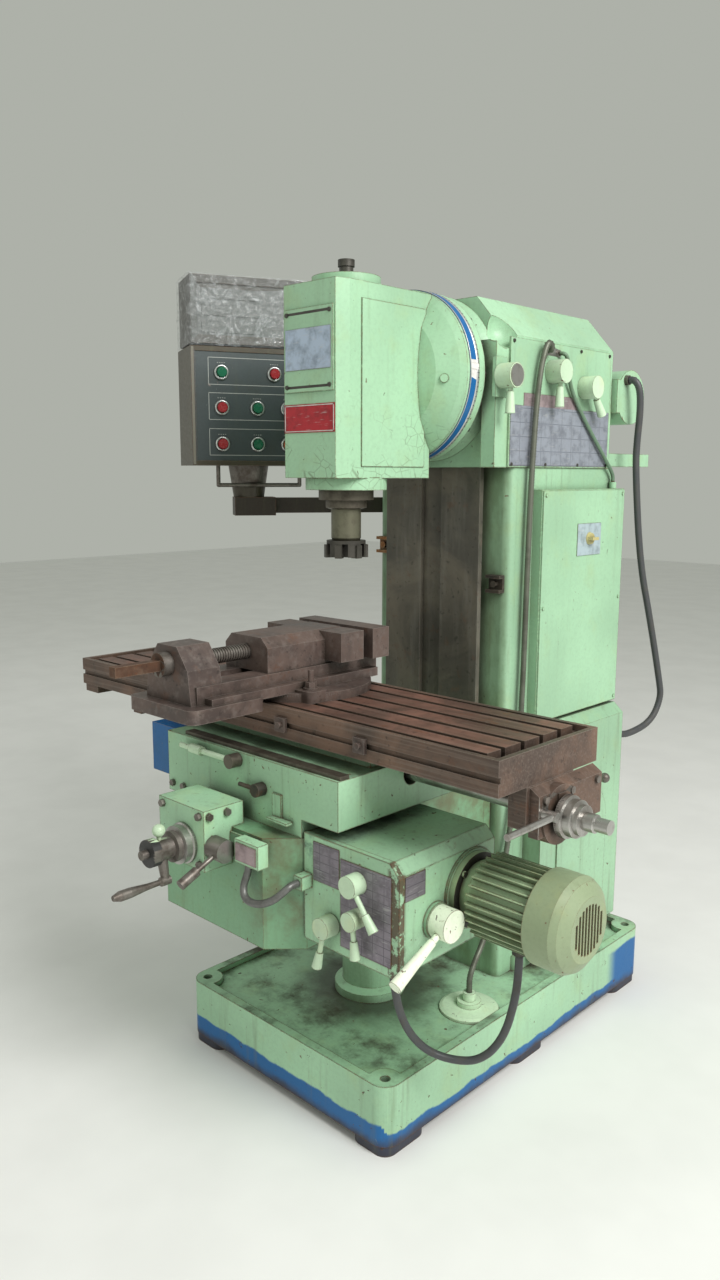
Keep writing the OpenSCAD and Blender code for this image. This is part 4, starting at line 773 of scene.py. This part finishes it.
LEFT = -PANEL_W / 2
ROW_H = 70
for low in (26, 118, 208):
    outline(LEFT + 46, LEFT + 300, PANEL_Z + low, PANEL_Z + low + ROW_H)
BUTTON_PLACES = [(81, 240), (225, 240), (81, 150), (177, 150), (261, 150), (81, 56), (177, 56), (261, 56)]
COLLAR_PROFILE = [(14.3, 0.1), (14.3, 6), (15.2, 7), (18.6, 6.2), (20, 3.6), (20, 0.1)]
collars = Shape()
for x, z in BUTTON_PLACES:
    place = PENDANT @ at(LEFT + x, FRONT + 3, PANEL_Z + z, tilt=(0, -1, 0))
    collars.turned(COLLAR_PROFILE, place, 40)
    # Short dashes stand where a button's wording would be
    for dx in (-9, -3, 3, 9):
        lines.box((LEFT + x + dx - 2, FRONT + 2.6, PANEL_Z + z + 24),
                  (LEFT + x + dx + 1, FRONT + 3.2, PANEL_Z + z + 25.4), PENDANT)
collar_steel = steel("collar_look", (0.55, 0.56, 0.56), (0.2, 0.2, 0.2), 8, 0.2, 0.22, 0.95)
collars.piece("button_collars", "pendant", collar_steel, True)
ink_light = plastic("panel_line_look", (0.42, 0.44, 0.42), 0.4, 11, 0.5, 0.0)
lines.piece("panel_lines", "pendant", ink_light)
strip = Shape()
for x0 in (-PANEL_W / 2 + 1, PANEL_W / 2 - 9):
    strip.box((x0, FRONT - 0.8, PANEL_Z + 2), (x0 + 8, FRONT + 0.1, PANEL_Z + 303), PENDANT, 0.3)
strip_paint = paint("strip_look", (0.17, 0.16, 0.13), 23, 0.6, 0.5, 0.1, 1, 0.4)
strip.piece("panel_edge_strips", "pendant", strip_paint)
part_look("pendant_box", dull, (-530, -330, 1436), (-380, -90, 1494.5))

# Red plate's white border ---------------------------------------------------------
border = Shape()
for x0, z0, x1, z1 in ((-79, 1566, 79, 1568), (-79, 1622, 79, 1624), (-79, 1566, -77, 1624),
                       (77, 1566, 79, 1624)):
    border.box((x0, HEAD_FRONT - 2, z0), (x1, HEAD_FRONT - 1.3, z1))
border.piece("red_plate_border", "head", white_line)

# Clear film wrapped round the readout ------------------------------------------------


SAME = 1e-6


def make_film():
    """A crinkled clear bag: a band round the case, folded in over its top."""
    z0, z1 = 1801, 1980
    x0, x1, y0, y1 = -171, 165, FRONT + 1, 75
    corners = [(x0, y1), (x0, y0), (x1, y0), (x1, y1), (x0, y1)]
    ring = []
    for (ax, ay), (bx, by) in zip(corners, corners[1:]):
        n = 56 if abs(bx - ax) > abs(by - ay) else 30
        ring += [(ax + (bx - ax) * k / n, ay + (by - ay) * k / n) for k in range(n)]
    ring.append(ring[0])
    rows = [z0 + (z1 - z0) * k / 34 for k in range(35)]
    folds = [12, 26, 42, 60]
    verts, faces = [], []
    middle = Vector(((x0 + x1) / 2, (y0 + y1) / 2, 0))
    for j in range(len(rows) + len(folds)):
        z = rows[j] if j < len(rows) else z1 - 1.5
        inward = 0 if j < len(rows) else folds[j - len(rows)]
        for x, y in ring[:-1]:
            p = Vector((x, y, z))
            q = Vector((x, y, 0))
            out = q - middle
            near = min(1.0, inward / max(out.length, 1))
            p.x -= (q.x - middle.x) * near
            p.y -= (q.y - middle.y) * near
            c = Vector((p.x * 0.016, p.y * 0.016, p.z * 0.02))
            crease = (abs(noise.noise(c * 1.3)) + 0.5 * abs(noise.noise(c * 3.1 + Vector((5, 1, 2))))
                      + 0.25 * abs(noise.noise(c * 7.3)))
            push = 1.5 + 5.5 * crease
            if j < len(rows):
                if abs(y - y0) < SAME:
                    p.y -= push
                elif abs(y - y1) < SAME:
                    p.y += push
                else:
                    p.x += push if x > 0 else -push
            else:
                p.z += push * 0.9
            verts.append(PENDANT @ (p * MM))
    n = len(ring) - 1
    for j in range(len(rows) + len(folds) - 1):
        for k in range(n):
            a, b = j * n + k, j * n + (k + 1) % n
            faces.append((a, b, b + n, a + n))
    g = Tree("clear_film")
    wrinkle = g.cells(42, g.mapped((1, 1, 1.6)), "DISTANCE_TO_EDGE")
    cloud = g.noise(30, 7, 0.7, None, 1.5)
    haze = g.plus(g.times(g.step(cloud, 0.46, 0.66), 0.34), 0.10)
    haze = g.plus(haze, g.times(g.step(wrinkle, 0.02, 0.002), 0.12))
    g.put(g.shader.inputs["Alpha"], haze)
    height = g.plus(cloud, g.times(wrinkle, 2.0))
    g.finish((0.58, 0.61, 0.63), 0.12, 0.0, height, 0.004, Specular_IOR_Level=0.8)
    film = link("readout_film", verts, faces, "pendant", g.material, smooth=True)
    height = (z1 - z0 + folds[-1]) * MM * 1.03


make_film()

# ---------------------------------------------------------------- stage


def make_stage():
    mesh = bpy.data.meshes.new("floor")
    s = 14
    mesh.from_pydata([(-s, -s, 0), (s, -s, 0), (s, s, 0), (-s, s, 0)], [], [(0, 1, 2, 3)])
    g = Tree("floor_look")
    g.finish(g.mix(g.step(g.noise(3, 3), 0.3, 0.7), (0.80, 0.80, 0.79), (0.84, 0.84, 0.83)), 0.85, 0.0)
    mesh.materials.append(g.material)
    floor = bpy.data.objects.new("floor", mesh)
    bpy.context.scene.collection.objects.link(floor)
    world = bpy.data.worlds.new("studio")
    world.use_nodes = True
    back = world.node_tree.nodes["Background"]
    back.inputs[0].default_value = (0.96, 1.0, 0.90, 1)
    back.inputs[1].default_value = 0.44
    bpy.context.scene.world = world
    area_light("key", (4.2, -0.6, 4.4), (0.2, -0.1, 0.9), 2.6, 300, (1.0, 0.99, 0.97))
    area_light("front", (0.4, -5.5, 3.2), (0, 0, 1.0), 3.0, 24, (0.98, 1.0, 0.90))
    area_light("left", (-4.5, -2.0, 3.6), (0, 0, 1.1), 3.0, 30)


make_stage()
bpy.context.scene.view_settings.view_transform = "Standard"
